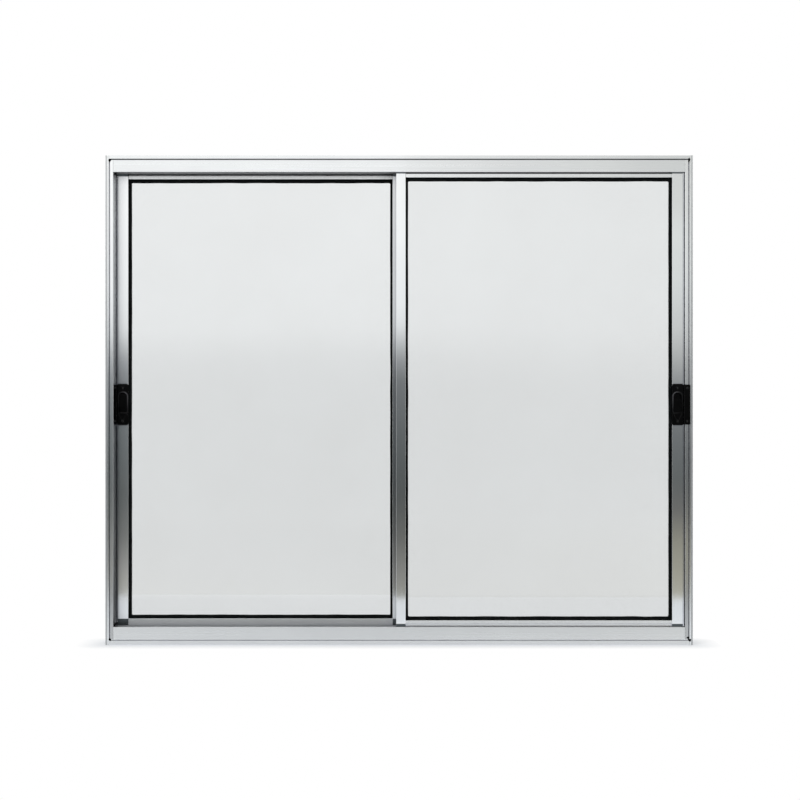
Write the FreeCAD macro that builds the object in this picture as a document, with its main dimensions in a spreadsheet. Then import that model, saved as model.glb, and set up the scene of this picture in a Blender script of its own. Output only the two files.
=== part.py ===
import FreeCAD, Part
import os
import re
import Sketcher

# A two-leaf horizontal sliding window in natural aluminium, seen from the room.
# X runs to the right, Y from the room to the outside, Z up. The origin is the
# middle of the sill's underside. Everything is in millimetres.
# The right leaf runs in the front track, the left leaf in the rear track.

doc = FreeCAD.newDocument("sliding_window")
sheet = doc.addObject("Spreadsheet::Sheet", "Sizes")

sizes = {
    # Frame, outside to outside
    "width": 1200,
    "height": 1000,
    "depth": 64,
    "wall": 1.5,
    "mid_wall": 1.8,
    # Front edge of the frame: outer lip, clip-trim slot and its cavity
    "lip": 7,
    "sill_lip": 9,
    "mouth": 2.4,
    "sill_mouth": 1.2,
    "cavity": 4.8,
    "cavity_deep": 4,
    "bead": 1.2,
    "lip_clear": 0.2,
    # Distance from the outside of the frame to the inner face of its web
    "web": 10,
    "sill_web": 11.7,
    # Distance from the outside of the frame to the inner edge of its walls
    "jamb_cover": 16,
    "head_cover": 34.1,
    "sill_cover": 36.7,
    # Tracks in the sill
    "track_tall": 7.3,
    "track_wide": 2.6,
    # Drain slots
    "drain_long": 26,
    "drain_tall": 5,
    "drain_inset": 150,
    "drain_lift": 1,
    "drain_offset": 5,
    # Rounding of the front edges, the walls' edges and the tracks
    "edge_round": 0.5,
    "cover_round": 1,
    "track_round": 1,
    "stile_round": 0.8,
    # Screw ports at the corners of the frame, and the holes for their screws
    "port_apart": 24,
    "port_round": 1.9,
    "port_wall": 1.3,
    "port_bite": 0.2,
    "screw_hole": 4.4,
    # How far cutting shapes run past the metal they cut
    "past": 1,
    # Fixing holes in the jambs
    "fixing_hole": 6.5,
    "fixing_inset": 150,
    # Leaves
    "side_clear": 2.3,
    "rail_step": 1.5,
    "neck_room": 0.2,
    "stile_face": 22.2,
    "meet_face": 19.4,
    "overlap": 12,
    "jamb_gap": 3.6,
    "tongue_clear": 1.4,
    "tongue_hook": 2.6,
    "sash_clear": 5.3,
    "lift_room": 20,
    "stile_clear": 2,
    "sill_sight": 12.8,
    "head_sight": 10.4,
    "low_shoulder": 6.1,
    "rear_skirt": 18,
    "top_shoulder": 7.8,
    "front_low_notch": 5.9,
    "front_top_notch": 2.6,
    "rear_low_notch": 12.8,
    "rear_top_notch": 4.9,
    # Glazing groove, glass and gasket
    "groove_deep": 9,
    "groove_rib": 5.6,
    "channel_hook": 3.5,
    "glass_thick": 4,
    "glass_bite": 7,
    "gasket_bite": 8.6,
    "gasket_wall": 3.4,
    "gasket_slack": 0.1,
    "gasket_side": 6.4,
    "gasket_level": 7.4,
    "gasket_bead": 6.4,
    "gasket_rear": 4,
    "gasket_corner": 2,
    "bead_bevel": 0.9,
    # Interlock between the meeting stiles
    "hook_gap": 1,
    "hook_reach": 8,
    # Rollers
    "wheel_round": 7,
    "flange_tall": 1.5,
    "wheel_wide": 5,
    "track_slack": 0.4,
    "axle_round": 1.6,
    "axle_slack": 0.1,
    "wheel_room": 1,
    "housing_roof": 1.2,
    "wheel_seat": 0.1,
    "housing_long": 58,
    "housing_inset": 30,
    "housing_clear": 0.3,
    # Top guides
    "guide_long": 36,
    "guide_tall": 12,
    "guide_clear": 1.1,
    "guide_inset": 1,
    # Pile seals
    "pile_wide": 3,
    "pile_clear": 0.2,
    "pile_inset": 8,
    # Latches
    "latch_mid": 491,
    "latch_tall": 85,
    "latch_proud": 3.8,
    "latch_margin": 0.4,
    "latch_over": 1.2,
    "latch_round": 4,
    "box_side": 1.5,
    "box_half": 31,
    "box_deep": 4.9,
    "box_slack": 0.5,
    "pocket_slack": 0.4,
    "shell": 1.3,
    "case_bevel": 1.2,
    "rim_bevel": 0.7,
    "arch_flat": 0.6,
    "recess_low": 16,
    "recess_high": 27,
    "slide_clear": 0.2,
    "trigger_tall": 27,
    "trigger_lift": 10,
    "trigger_drop": 1.5,
    "ridge_tall": 3,
    "ridge_proud": 1.3,
    "ridge_round": 0.5,
    "rib_tall": 0.9,
    "rib_proud": 0.35,
    "rib_pitch": 4.6,
    "hook_clear": 1.8,
    "hook_inside": 6,
    "hook_slack": 0.3,
    "hook_tip": 2,
    "hook_slope": 1,
    "hook_thick": 1.8,
    "hook_half": 5,
    "hook_tooth": 4,
    "keeper_thick": 2,
    "keeper_half": 41,
    "keeper_gap": 0.4,
    "keeper_wide": 12.7,
    "keeper_leg": 1.4,
    "keeper_slot": 0.5,
    "keeper_round": 2.5,
    "keeper_edge": 0.6,
}

for row, (alias, value) in enumerate(sizes.items(), start=1):
    sheet.set(f"A{row}", alias.replace("_", " "))
    sheet.set(f"B{row}", str(value))
    sheet.setAlias(f"B{row}", alias)
doc.recompute()

# Places worked out from the driving sizes
derived = {
    "front": "0 - depth / 2",
    "side": "width / 2",
    # Middle plane of each track, counted from the middle of the frame
    "track": "(depth / 2 - wall + mid_wall / 2) / 2",
    "mouth_end": "lip + mouth",
    "sill_mouth_end": "sill_lip + sill_mouth",
    "slot_floor": "front + wall + cavity_deep",
    "slot_back": "slot_floor + wall",
    "slot_side": "(cavity - mouth) / 2",
    "track_top": "sill_web + track_tall",
    # Heights of the screw ports: in the sill's chamber and above the head's web
    "sill_port": "wall - port_bite + port_wall + port_round",
    "head_port": "height - web + wall - port_bite + port_wall + port_round",
    # Leaf edges, counted from the middle of the window
    "stile_edge": "side - jamb_cover - jamb_gap",
    "sight_out": "stile_edge - stile_face",
    "sight_in": "meet_face - overlap / 2",
    "tongue": "side - web - tongue_clear - sight_out",
    "sight_low": "sill_cover + sill_sight",
    "sight_high": "height - head_cover - head_sight",
    "sash_low": "sill_web + sash_clear",
    "sash_high": "height - web - lift_room",
    "stile_low": "track_top + stile_clear",
    # Half thicknesses: the stile leaves its track's walls a clearance
    "channel": "depth / 2 - wall - mid_wall / 2",
    "half_stile": "channel / 2 - side_clear",
    "half_rail": "half_stile - rail_step",
    "half_neck": "mouth_half + neck_room + wall",
    "mouth_half": "glass_thick / 2 + gasket_wall + gasket_slack",
    "gasket_half": "mouth_half - gasket_slack",
    "hook_near": "track + hook_gap / 2",
    "wheel_axis": "track_top + wheel_seat + wheel_round",
    # Latch, counted from the gasket's edge outwards and from the leaf's plane
    "latch_out": "stile_face + latch_over",
    "latch_front": "0 - half_stile - latch_proud",
    "box_out": "stile_face - wall - box_slack",
    "hook_front": "0 - half_neck - hook_thick - hook_clear",
    "box_back": "hook_front + box_deep",
    "keeper_in": "latch_out + keeper_gap",
}

planes = {"X": "YZ_Plane", "Y": "XZ_Plane", "Z": "XY_Plane"}

# The wheels' pins and their bores are eight-sided
AXLE_SIDES = 8


def bound(text):
    """Turn a size in plain words into an expression on the sheet."""
    def swap(found):
        name = found.group(0)
        if name in sizes:
            return "Sizes." + name
        return "(" + bound(derived[name]) + ")"
    return re.sub(r"[a-z_]+", swap, str(text))


def value(text):
    """The number that a size in words comes to."""
    return float(sheet.evalExpression(bound(text)))


def new_body(label):
    body = doc.addObject("PartDesign::Body", label)
    body.Label = label
    return body


def draw(body, normal, loops, offset):
    """Sketch closed loops of corner points on an origin plane of the body."""
    sketch = body.newObject("Sketcher::SketchObject", body.Label + "_sketch")
    origin_plane = [part for part in body.Origin.OriginFeatures if part.Role == planes[normal]]
    sketch.AttachmentSupport = (origin_plane[0], "")
    sketch.MapMode = "FlatFace"
    sketch.setExpression("AttachmentOffset.Base.z", bound(offset))
    for corners in loops:
        first = sketch.GeometryCount
        count = len(corners)
        spots = [FreeCAD.Vector(value(a), value(b), 0) for a, b in corners]
        for i in range(count):
            sketch.addGeometry(Part.LineSegment(spots[i], spots[(i + 1) % count]), False)
        for i in range(count):
            after = first + (i + 1) % count
            sketch.addConstraint(Sketcher.Constraint("Coincident", first + i, 2, after, 1))
        for i, (a, b) in enumerate(corners):
            pin(sketch, first + i, "DistanceX", a, spots[i].x)
            pin(sketch, first + i, "DistanceY", b, spots[i].y)
    return sketch


def pin(sketch, line, kind, text, number):
    """Tie the start of a line to the sketch's origin by a size on the sheet."""
    if abs(number) < 1e-9:
        axis = -2 if kind == "DistanceX" else -1
        sketch.addConstraint(Sketcher.Constraint("PointOnObject", line, 1, axis))
        return
    index = sketch.addConstraint(Sketcher.Constraint(kind, -1, 1, line, 1, number))
    sketch.setExpression(f"Constraints[{index}]", bound(text))


def pad(body, normal, loops, low, high):
    """Add a prism between two levels along the normal."""
    offset = f"0 - ({high})" if normal == "Y" else low
    sketch = draw(body, normal, loops, offset)
    feature = body.newObject("PartDesign::Pad", body.Label + "_pad")
    feature.Profile = sketch
    feature.setExpression("Length", bound(f"({high}) - ({low})"))
    doc.recompute()
    return feature


def cut(body, normal, loops, low, high):
    """Take a prism between two levels away, and check that it cut something."""
    before = body.Shape.Volume
    offset = f"0 - ({low})" if normal == "Y" else high
    sketch = draw(body, normal, loops, offset)
    feature = body.newObject("PartDesign::Pocket", body.Label + "_pocket")
    feature.Profile = sketch
    feature.setExpression("Length", bound(f"({high}) - ({low})"))
    doc.recompute()
    if body.Shape.Volume > before - 0.01:
        raise ValueError(f"{body.Label}: the cut took nothing away")
    return feature


def round_edges(body, radius, wanted):
    """Fillet the edges of the body's last feature that a test picks."""
    return dress(body, "Fillet", "Radius", radius, wanted)


def bevel_edges(body, size, wanted):
    """Chamfer the edges of the body's last feature that a test picks."""
    return dress(body, "Chamfer", "Size", size, wanted)


def dress(body, kind, field, size, wanted):
    base = body.Tip
    names = [f"Edge{i}" for i, edge in enumerate(base.Shape.Edges, start=1) if wanted(edge)]
    if not names:
        raise ValueError(f"{body.Label}: no edge to dress")
    feature = body.newObject("PartDesign::" + kind, body.Label + "_" + kind.lower())
    feature.Base = (base, names)
    feature.setExpression(field, bound(size))
    doc.recompute()
    return feature


def round_corners(body, radius, axis, corners):
    """Fillet the long edges that run along an axis through named section corners."""
    across = [name for name in "xyz" if name != axis]
    spots = [(value(a), value(b)) for a, b in corners]

    def wanted(edge):
        if len(edge.Vertexes) != 2:
            return False
        span = edge.Vertexes[1].Point - edge.Vertexes[0].Point
        if max(abs(getattr(span, name)) for name in across) > 1e-6:
            return False
        point = edge.Vertexes[0].Point
        place = [getattr(point, name) for name in across]
        return any(abs(place[0] - a) + abs(place[1] - b) < 1e-3 for a, b in spots)

    return round_edges(body, radius, wanted)


def rectangle(x_low, x_high, y_low, y_high):
    return [(x_low, y_low), (x_high, y_low), (x_high, y_high), (x_low, y_high)]


def times(sign, text):
    """A distance from the middle, on the left or right side."""
    return f"{sign} * ({text})"


def turned(kind, label, sizes_in_words, x, y_high, z):
    """A round piece whose axis runs from a depth towards the room."""
    part = doc.addObject("Part::" + kind, label)
    for name, text in sizes_in_words.items():
        part.setExpression(name, bound(text))
    part.Placement.Rotation = FreeCAD.Rotation(FreeCAD.Vector(1, 0, 0), 90)
    for axis, text in zip("xyz", (x, y_high, z)):
        part.setExpression("Placement.Base." + axis, bound(text))
    return part


def block(label, x_low, x_high, y_low, y_high, z_low, z_high):
    """A plain box between named levels."""
    box = doc.addObject("Part::Box", label)
    lows = {"x": x_low, "y": y_low, "z": z_low}
    spans = {"Length": (x_low, x_high), "Width": (y_low, y_high), "Height": (z_low, z_high)}
    for name, (low, high) in spans.items():
        box.setExpression(name, bound(f"({high}) - ({low})"))
    for axis, low in lows.items():
        box.setExpression("Placement.Base." + axis, bound(low))
    return box


def gather(label, members):
    """Keep like pieces that don't touch together as one sub-part."""
    group = doc.addObject("Part::Compound", label)
    group.Label = label
    group.Links = members
    return group


# Frame


def edge_section(cover):
    """Section of a jamb or the head: (distance from the outside, depth) corners."""
    back = "depth / 2"
    turn = f"({cover}) - wall"
    half_mid = "mid_wall / 2"
    return [
        ("0", "front"),
        ("lip", "front"),
        ("lip", "front + wall"),
        ("lip - slot_side", "front + wall"),
        ("lip - slot_side", "slot_floor"),
        ("mouth_end + slot_side", "slot_floor"),
        ("mouth_end + slot_side", "front + wall"),
        ("mouth_end", "front + wall"),
        ("mouth_end", "front"),
        (cover, "front"),
        (cover, "front + wall + bead"),
        (turn, "front + wall + bead"),
        (turn, "front + wall"),
        ("mouth_end + slot_side + wall", "front + wall"),
        ("mouth_end + slot_side + wall", "slot_back"),
        ("web", "slot_back"),
        ("web", "0 - mid_wall / 2"),
        (cover, "0 - mid_wall / 2"),
        (cover, half_mid),
        ("web", half_mid),
        ("web", f"{back} - wall"),
        (turn, f"{back} - wall"),
        (turn, f"{back} - wall - bead"),
        (cover, f"{back} - wall - bead"),
        (cover, back),
        ("0", back),
        ("0", f"{back} - wall"),
        ("web - wall", f"{back} - wall"),
        ("web - wall", "slot_back"),
        ("lip - slot_side - wall", "slot_back"),
        ("lip - slot_side - wall", "front + wall"),
        ("0", "front + wall"),
    ]


def jamb(label, side):
    """An upright of the frame, milled at its ends so the head and sill meet its web."""
    body = new_body(label)
    outline = [(times(side, f"side - ({w})"), y) for w, y in edge_section("jamb_cover")]
    pad(body, "Z", [outline], "0", "height")
    edges = [(times(side, f"side - ({w})"), "front") for w in ("0", "lip", "mouth_end")]
    round_corners(body, "edge_round", "z", edges)
    round_corners(body, "cover_round", "z", [(times(side, "side - jamb_cover"), "front")])
    beyond = "jamb_cover + past"
    milled = [
        ("mouth_end", "front - past"),
        ("mouth_end", "front + wall"),
        ("web", "front + wall"),
        ("web", "depth / 2 + past"),
        (beyond, "depth / 2 + past"),
        (beyond, "front - past"),
    ]
    milled = [(times(side, f"side - ({w})"), y) for w, y in milled]
    cut(body, "Z", [milled], "0 - past", "sill_web")
    cut(body, "Z", [milled], "height - web", "height + past")
    return body


def web_holes(body, side):
    """Plain holes through the web: three fixings in the free track, four corner screws."""
    free_track = times(side, "track")
    holes = [(free_track, level, "fixing_hole / 2")
             for level in ("fixing_inset", "height / 2", "height - fixing_inset")]
    for spot in ("0 - port_apart / 2", "port_apart / 2"):
        for level in ("sill_port", "head_port"):
            holes.append((spot, level, "screw_hole / 2"))
    start = "side" if side > 0 else "web - side + past"
    for number, (middle, level, radius) in enumerate(holes):
        hole = body.newObject("PartDesign::Pocket", f"{body.Label}_drill{number}")
        hole.Profile = ring(body, f"_hole{number}", middle, level, [radius], start)
        hole.setExpression("Length", bound("web + past"))
        doc.recompute()


def ring(body, name, middle, level, sizes_in_words, offset):
    """Sketch one or two concentric circles on the cross-section plane."""
    sketch = body.newObject("Sketcher::SketchObject", body.Label + name)
    origin_plane = [part for part in body.Origin.OriginFeatures if part.Role == "YZ_Plane"]
    sketch.AttachmentSupport = (origin_plane[0], "")
    sketch.MapMode = "FlatFace"
    sketch.setExpression("AttachmentOffset.Base.z", bound(offset))
    centre = FreeCAD.Vector(value(middle), value(level), 0)
    for number, radius in enumerate(sizes_in_words):
        circle = Part.Circle(centre, FreeCAD.Vector(0, 0, 1), value(radius))
        sketch.addGeometry(circle)
        rules = [("Radius", (number,), radius), ("DistanceX", (-1, 1, number, 3), middle),
                 ("DistanceY", (-1, 1, number, 3), level)]
        for kind, ends, text in rules:
            index = sketch.addConstraint(Sketcher.Constraint(kind, *ends, value(text)))
            sketch.setExpression(f"Constraints[{index}]", bound(text))
    return sketch


def screw_port(body, middle, level, low, high):
    """A round port along the section, which takes the screw that holds the corner."""
    rings = ["port_round + port_wall", "port_round"]
    feature = body.newObject("PartDesign::Pad", body.Label + "_port")
    feature.Profile = ring(body, "_port_sketch", middle, level, rings, low)
    feature.setExpression("Length", bound(f"({high}) - ({low})"))
    doc.recompute()
    return feature


def head():
    body = new_body("frame_head")
    reach = "side - lip - lip_clear"
    outline = [(y, f"height - ({w})") for w, y in edge_section("head_cover")]
    pad(body, "X", [outline], f"0 - ({reach})", reach)
    edges = [("front", f"height - ({w})") for w in ("0", "lip", "mouth_end")]
    round_corners(body, "edge_round", "x", edges)
    round_corners(body, "cover_round", "x", [("front", "height - head_cover")])
    for spot in ("0 - port_apart / 2", "port_apart / 2"):
        screw_port(body, spot, "head_port", "0 - (side - web)", "side - web")
    below = "height - head_cover - past"
    walls = [
        ("side - jamb_cover", below),
        ("side - jamb_cover", "height - web"),
        ("side - web", "height - web"),
        ("side - web", "height - lip"),
        ("side + past", "height - lip"),
        ("side + past", below),
    ]
    ends = [[(times(side, x), z) for x, z in walls] for side in (-1, 1)]
    cut(body, "Y", ends, "front - past", "depth / 2 + past")
    top = rectangle("side - web", "side + past", "height - lip - past", "height + past")
    ends = [[(times(side, x), z) for x, z in top] for side in (-1, 1)]
    cut(body, "Y", ends, "front + wall", "depth / 2 + past")
    return body


def sill():
    """The hollow sill with its two tracks, its drain slots and its milled ends."""
    body = new_body("frame_sill")
    reach = "side - lip - lip_clear"
    back = "depth / 2"
    turn = "sill_cover - wall"
    outline = [
        ("front", "0"),
        ("front", "sill_lip"),
        ("front + wall", "sill_lip"),
        ("front + wall", "sill_lip - slot_side"),
        ("slot_floor", "sill_lip - slot_side"),
        ("slot_floor", "sill_mouth_end + slot_side"),
        ("front + wall", "sill_mouth_end + slot_side"),
        ("front + wall", "sill_mouth_end"),
        ("front", "sill_mouth_end"),
        ("front", "sill_cover"),
        ("front + wall + bead", "sill_cover"),
        ("front + wall + bead", turn),
        ("front + wall", turn),
        ("front + wall", "sill_mouth_end + slot_side + wall"),
        ("slot_back", "sill_mouth_end + slot_side + wall"),
        ("slot_back", "sill_web"),
        ("0 - track - track_wide / 2", "sill_web"),
        ("0 - track - track_wide / 2", "track_top"),
        ("0 - track + track_wide / 2", "track_top"),
        ("0 - track + track_wide / 2", "sill_web"),
        ("0 - mid_wall / 2", "sill_web"),
        ("0 - mid_wall / 2", "sill_cover"),
        ("mid_wall / 2", "sill_cover"),
        ("mid_wall / 2", "sill_web"),
        ("track - track_wide / 2", "sill_web"),
        ("track - track_wide / 2", "track_top"),
        ("track + track_wide / 2", "track_top"),
        ("track + track_wide / 2", "sill_web"),
        (f"{back} - wall", "sill_web"),
        (f"{back} - wall", turn),
        (f"{back} - wall - bead", turn),
        (f"{back} - wall - bead", "sill_cover"),
        (back, "sill_cover"),
        (back, "0"),
    ]
    front_chamber = [
        ("front + wall", "wall"),
        ("front + wall", "sill_lip - slot_side - wall"),
        ("slot_back", "sill_lip - slot_side - wall"),
        ("slot_back", "sill_web - wall"),
        ("0 - mid_wall / 2", "sill_web - wall"),
        ("0 - mid_wall / 2", "wall"),
    ]
    rear_chamber = rectangle("mid_wall / 2", f"{back} - wall", "wall", "sill_web - wall")
    pad(body, "X", [outline, front_chamber, rear_chamber], f"0 - ({reach})", reach)
    edges = [("front", z) for z in ("0", "sill_lip", "sill_mouth_end")]
    round_corners(body, "edge_round", "x", edges)
    round_corners(body, "cover_round", "x", [("front", "sill_cover")])
    tops = [(f"{plane} {flank} track_wide / 2", "track_top")
            for plane in ("0 - track", "track") for flank in "-+"]
    round_corners(body, "track_round", "x", tops)
    for spot in ("0 - port_apart / 2", "port_apart / 2"):
        screw_port(body, spot, "sill_port", "0 - (side - web)", "side - web")
    above = "sill_cover + past"
    walls = [
        ("side - jamb_cover", above),
        ("side - jamb_cover", "sill_web"),
        ("side - web", "sill_web"),
        ("side - web", "sill_lip"),
        ("side + past", "sill_lip"),
        ("side + past", above),
    ]
    ends = [[(times(side, x), z) for x, z in walls] for side in (-1, 1)]
    cut(body, "Y", ends, "front - past", "depth / 2 + past")
    foot = rectangle("side - web", "side + past", "0 - past", "sill_web + past")
    ends = [[(times(side, x), z) for x, z in foot] for side in (-1, 1)]
    cut(body, "Y", ends, "front + wall", "depth / 2 + past")
    # Water runs down by the tracks and out through the wall between the chambers
    weep = rectangle("side - drain_inset - drain_long", "side - drain_inset",
                     "wall + drain_lift", "wall + drain_lift + drain_tall")
    weeps = [[(times(side, x), z) for x, z in weep] for side in (-1, 1)]
    cut(body, "Y", weeps, "0 - mid_wall / 2 - past", "mid_wall / 2 + past")
    cut(body, "Y", weeps, "depth / 2 - wall - past", "depth / 2 + past")
    for start in ("0 - track + drain_offset", "track + drain_offset"):
        drain = rectangle("side - drain_inset - drain_long", "side - drain_inset",
                          start, f"{start} + drain_tall")
        drains = [[(times(side, x), y) for x, y in drain] for side in (-1, 1)]
        cut(body, "Z", drains, "sill_web - wall - past", "sill_web + past")
    return body


# Leaves


def groove_side():
    """Glazing groove of a stile: corners on one flank, from the mouth inwards."""
    inner = "half_stile - wall"
    return [
        ("0", "mouth_half"),
        ("wall", "mouth_half"),
        ("wall", inner),
        ("groove_rib", inner),
        ("groove_rib", "mouth_half"),
        ("groove_rib + wall", "mouth_half"),
        ("groove_rib + wall", inner),
        ("groove_deep", inner),
    ]


def mirrored(corners):
    """The same corners on the other flank, in the opposite order."""
    return [(u, f"0 - ({v})") for u, v in reversed(corners)]


def hollow(face):
    """The closed chamber between the groove and the stile's outer wall."""
    inner = "half_stile - wall"
    return rectangle("groove_deep + wall", f"{face} - wall", f"0 - ({inner})", inner)


def notch_ends(body, places, low, top, thick_side):
    """Mill the room-side face off both ends, where it passes the frame's wall."""
    x_low, x_high = places
    flank = rectangle(x_low, x_high, "0 - depth / 2", f"0 - {thick_side}")
    for level_low, level_high in (("stile_low - past", low), (top, "sash_high + past")):
        cut(body, "Z", [flank], level_low, level_high)


def outer_stile(label, side, plane, low_notch, top_notch):
    body = new_body(label)
    inner = "half_neck - wall"
    tip = [
        ("stile_face", "half_stile"),
        ("stile_face", "half_neck"),
        ("tongue", "half_neck"),
        ("tongue", "half_neck - tongue_hook"),
        ("tongue - wall", "half_neck - tongue_hook"),
        ("tongue - wall", inner),
        ("stile_face", inner),
    ]
    outline = groove_side() + mirrored(groove_side()) + [("0", "0 - half_stile")]
    outline = outline + mirrored(tip)[::-1] + tip[::-1] + [("0", "half_stile")]
    loops = [outline, hollow("stile_face")]
    loops = [[(times(side, f"sight_out + ({u})"), v) for u, v in loop] for loop in loops]
    pad(body, "Z", loops, "stile_low", "sash_high")
    edges = [(times(side, f"sight_out + {u}"), f"{sign} half_stile")
             for u in ("0", "stile_face") for sign in ("0 -", "0 +")]
    round_corners(body, "stile_round", "z", edges)
    reach = (times(side, "sight_out - past"), times(side, "sight_out + tongue + past"))
    notch_ends(body, reach, f"sill_cover + {low_notch}",
               f"height - head_cover - {top_notch}", "half_rail")
    box = rectangle(times(side, "sight_out + box_side - slide_clear"),
                    times(side, "sight_out + box_out + slide_clear"),
                    "latch_mid - box_half - slide_clear", "latch_mid + box_half + slide_clear")
    cut(body, "Y", [box], "0 - half_stile - past", "box_back + pocket_slack")
    slot = rectangle(times(side, "sight_out + stile_face - wall - past"),
                     times(side, "sight_out + stile_face + past"),
                     "latch_mid - hook_half - slide_clear", "latch_mid + hook_half + slide_clear")
    cut(body, "Y", [slot], "hook_front - slide_clear",
        "hook_front + hook_thick + slide_clear")
    body.setExpression("Placement.Base.y", bound(plane))
    return body


def meeting_stile(label, side, plane, inward, low_notch, top_notch):
    """The stile with the hook that catches the other leaf when the window is shut."""
    body = new_body(label)
    hook = [
        ("meet_face", "0 - half_stile"),
        ("meet_face", "hook_near + wall"),
        ("meet_face - hook_reach", "hook_near + wall"),
        ("meet_face - hook_reach", "hook_near"),
        ("meet_face - wall", "hook_near"),
        ("meet_face - wall", "half_stile"),
        ("0", "half_stile"),
    ]
    outline = groove_side() + mirrored(groove_side()) + [("0", "0 - half_stile")] + hook
    loops = [outline, hollow("meet_face")]
    loops = [[(times(side, f"sight_in - ({u})"), times(inward, v)) for u, v in loop]
             for loop in loops]
    pad(body, "Z", loops, "stile_low", "sash_high")
    edges = [(times(side, f"sight_in - {u}"), times(inward, "0 - half_stile"))
             for u in ("0", "meet_face")]
    edges.append((times(side, "sight_in"), times(inward, "half_stile")))
    round_corners(body, "stile_round", "z", edges)
    reach = (times(side, "sight_in + past"), times(side, "sight_in - meet_face - past"))
    notch_ends(body, reach, f"sill_cover + {low_notch}",
               f"height - head_cover - {top_notch}", "half_rail")
    body.setExpression("Placement.Base.y", bound(plane))
    return body


def rail_section(shoulder, foot, foot_hook):
    """Half section of a rail: (half thickness, distance from the groove's mouth)."""
    return [
        ("mouth_half", "0"),
        ("half_rail", "0"),
        ("half_rail", shoulder),
        ("half_neck", shoulder),
        ("half_neck", foot),
        (f"half_neck - {foot_hook}", foot),
        (f"half_neck - {foot_hook}", f"{foot} - wall"),
        ("half_neck - wall", f"{foot} - wall"),
        ("half_neck - wall", "groove_deep + wall"),
    ]


def groove_section(shoulder):
    """Half section of a rail's glazing groove, from its floor to its mouth."""
    return [
        ("half_neck - wall", "groove_deep"),
        ("half_neck - wall", f"{shoulder} - wall"),
        ("half_rail - wall", f"{shoulder} - wall"),
        ("half_rail - wall", "wall"),
        ("mouth_half", "wall"),
    ]


def rail(label, side, plane, half, groove, level):
    """A rail between the stiles; level turns a distance from the mouth into a height."""
    body = new_body(label)
    outside = half + [(f"0 - ({v})", h) for v, h in reversed(half)]
    inside = [(f"0 - ({v})", h) for v, h in reversed(groove)] + groove
    outline = [(v, level(h)) for v, h in outside + inside]
    ends = sorted((times(side, "sight_in"), times(side, "sight_out")), key=value)
    pad(body, "X", [outline], ends[0], ends[1])
    edges = [(f"{sign} half_rail", level(h)) for sign in ("0 -", "0 +") for _, h in half[1:3]]
    round_corners(body, "stile_round", "x", edges)
    body.setExpression("Placement.Base.y", bound(plane))
    return body


def bottom_rail(label, side, plane, skirt):
    """Shoulder, neck and roller channel, open downwards; the rear leaf's has skirts."""
    half = rail_section("low_shoulder", "(sight_low - sash_low)", "channel_hook")
    if skirt:
        half[2:3] = [("half_rail", skirt), ("half_rail - wall", skirt),
                     ("half_rail - wall", "low_shoulder")]
    return rail(label, side, plane, half, groove_section("low_shoulder"),
                lambda h: f"sight_low - ({h})")


def top_rail(label, side, plane):
    """Shoulder and neck, open upwards for the guides."""
    half = rail_section("top_shoulder", "(sash_high - sight_high)", "wall")
    return rail(label, side, plane, half[:5] + half[7:], groove_section("top_shoulder"),
                lambda h: f"sight_high + ({h})")


def opening(side, out, level):
    """Rectangle round the sight line, grown by out sideways and level up and down."""
    return rectangle(times(side, f"sight_in - ({out})"), times(side, f"sight_out + ({out})"),
                     f"sight_low - ({level})", f"sight_high + ({level})")


def glass(label, side, plane):
    body = new_body(label)
    pad(body, "Y", [opening(side, "glass_bite", "glass_bite")],
        "0 - glass_thick / 2", "glass_thick / 2")
    body.setExpression("Placement.Base.y", bound(plane))
    return body


def gasket(label, side, plane):
    """One rubber channel wrapped round the glass, with the bead that shows."""
    body = new_body(label)
    inner = opening(side, "0 - gasket_side", "0 - gasket_level")
    pad(body, "Y", [opening(side, "gasket_bite", "gasket_bite"), inner],
        "0 - gasket_half", "gasket_half")
    pad(body, "Y", [opening(side, "0 - gasket_slack", "0 - gasket_slack"), inner],
        "0 - gasket_bead", "gasket_bead")
    rear = opening(side, "0 - gasket_rear", "0 - gasket_rear")
    cut(body, "Y", [rear], "glass_thick / 2", "gasket_bead + past")
    cut(body, "Y", [opening(side, "glass_bite", "glass_bite")],
        "0 - glass_thick / 2", "glass_thick / 2")
    round_corners(body, "gasket_corner", "y", inner + rear)
    for face in (value("0 - gasket_bead"), value("gasket_bead")):
        bevel_edges(body, "bead_bevel", lambda edge: lies_at(edge, face))
    body.setExpression("Placement.Base.y", bound(plane))
    return body


def housings(label, side, plane):
    """The two roller housings, pressed into the ends of the bottom rail."""
    members = []
    half = "half_neck - wall - housing_clear"
    top = "sight_low - groove_deep - wall - housing_clear"
    low = "sash_low + wall + housing_clear"
    room = "wheel_round + flange_tall + wheel_room"
    slot_half = "wheel_wide / 2 + wheel_room / 2"
    for number, centre in enumerate(roller_centres(side)):
        outer = block(f"{label}_{number}_block", f"{centre} - housing_long / 2",
                      f"{centre} + housing_long / 2",
                      f"{plane} - ({half})", f"{plane} + {half}", low, top)
        slot = block(f"{label}_{number}_slot", f"{centre} - ({room})", f"{centre} + {room}",
                     f"{plane} - ({slot_half})", f"{plane} + {slot_half}",
                     f"{low} - past", f"{top} - housing_roof")
        bore_sizes = {"Circumradius": "axle_round + axle_slack", "Height": f"({half} + past) * 2"}
        bore = turned("Prism", f"{label}_{number}_bore", bore_sizes,
                      centre, f"{plane} + {half} + past", "wheel_axis")
        bore.Polygon = AXLE_SIDES
        slotted = doc.addObject("Part::Cut", f"{label}_{number}_slotted")
        slotted.Base = outer
        slotted.Tool = slot
        shell = doc.addObject("Part::Cut", f"{label}_{number}")
        shell.Base = slotted
        shell.Tool = bore
        members.append(shell)
    return gather(label, members)


def roller_centres(side):
    inset = "housing_inset + housing_long / 2"
    return (times(side, f"sight_in + {inset}"), times(side, f"sight_out - ({inset})"))


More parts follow.
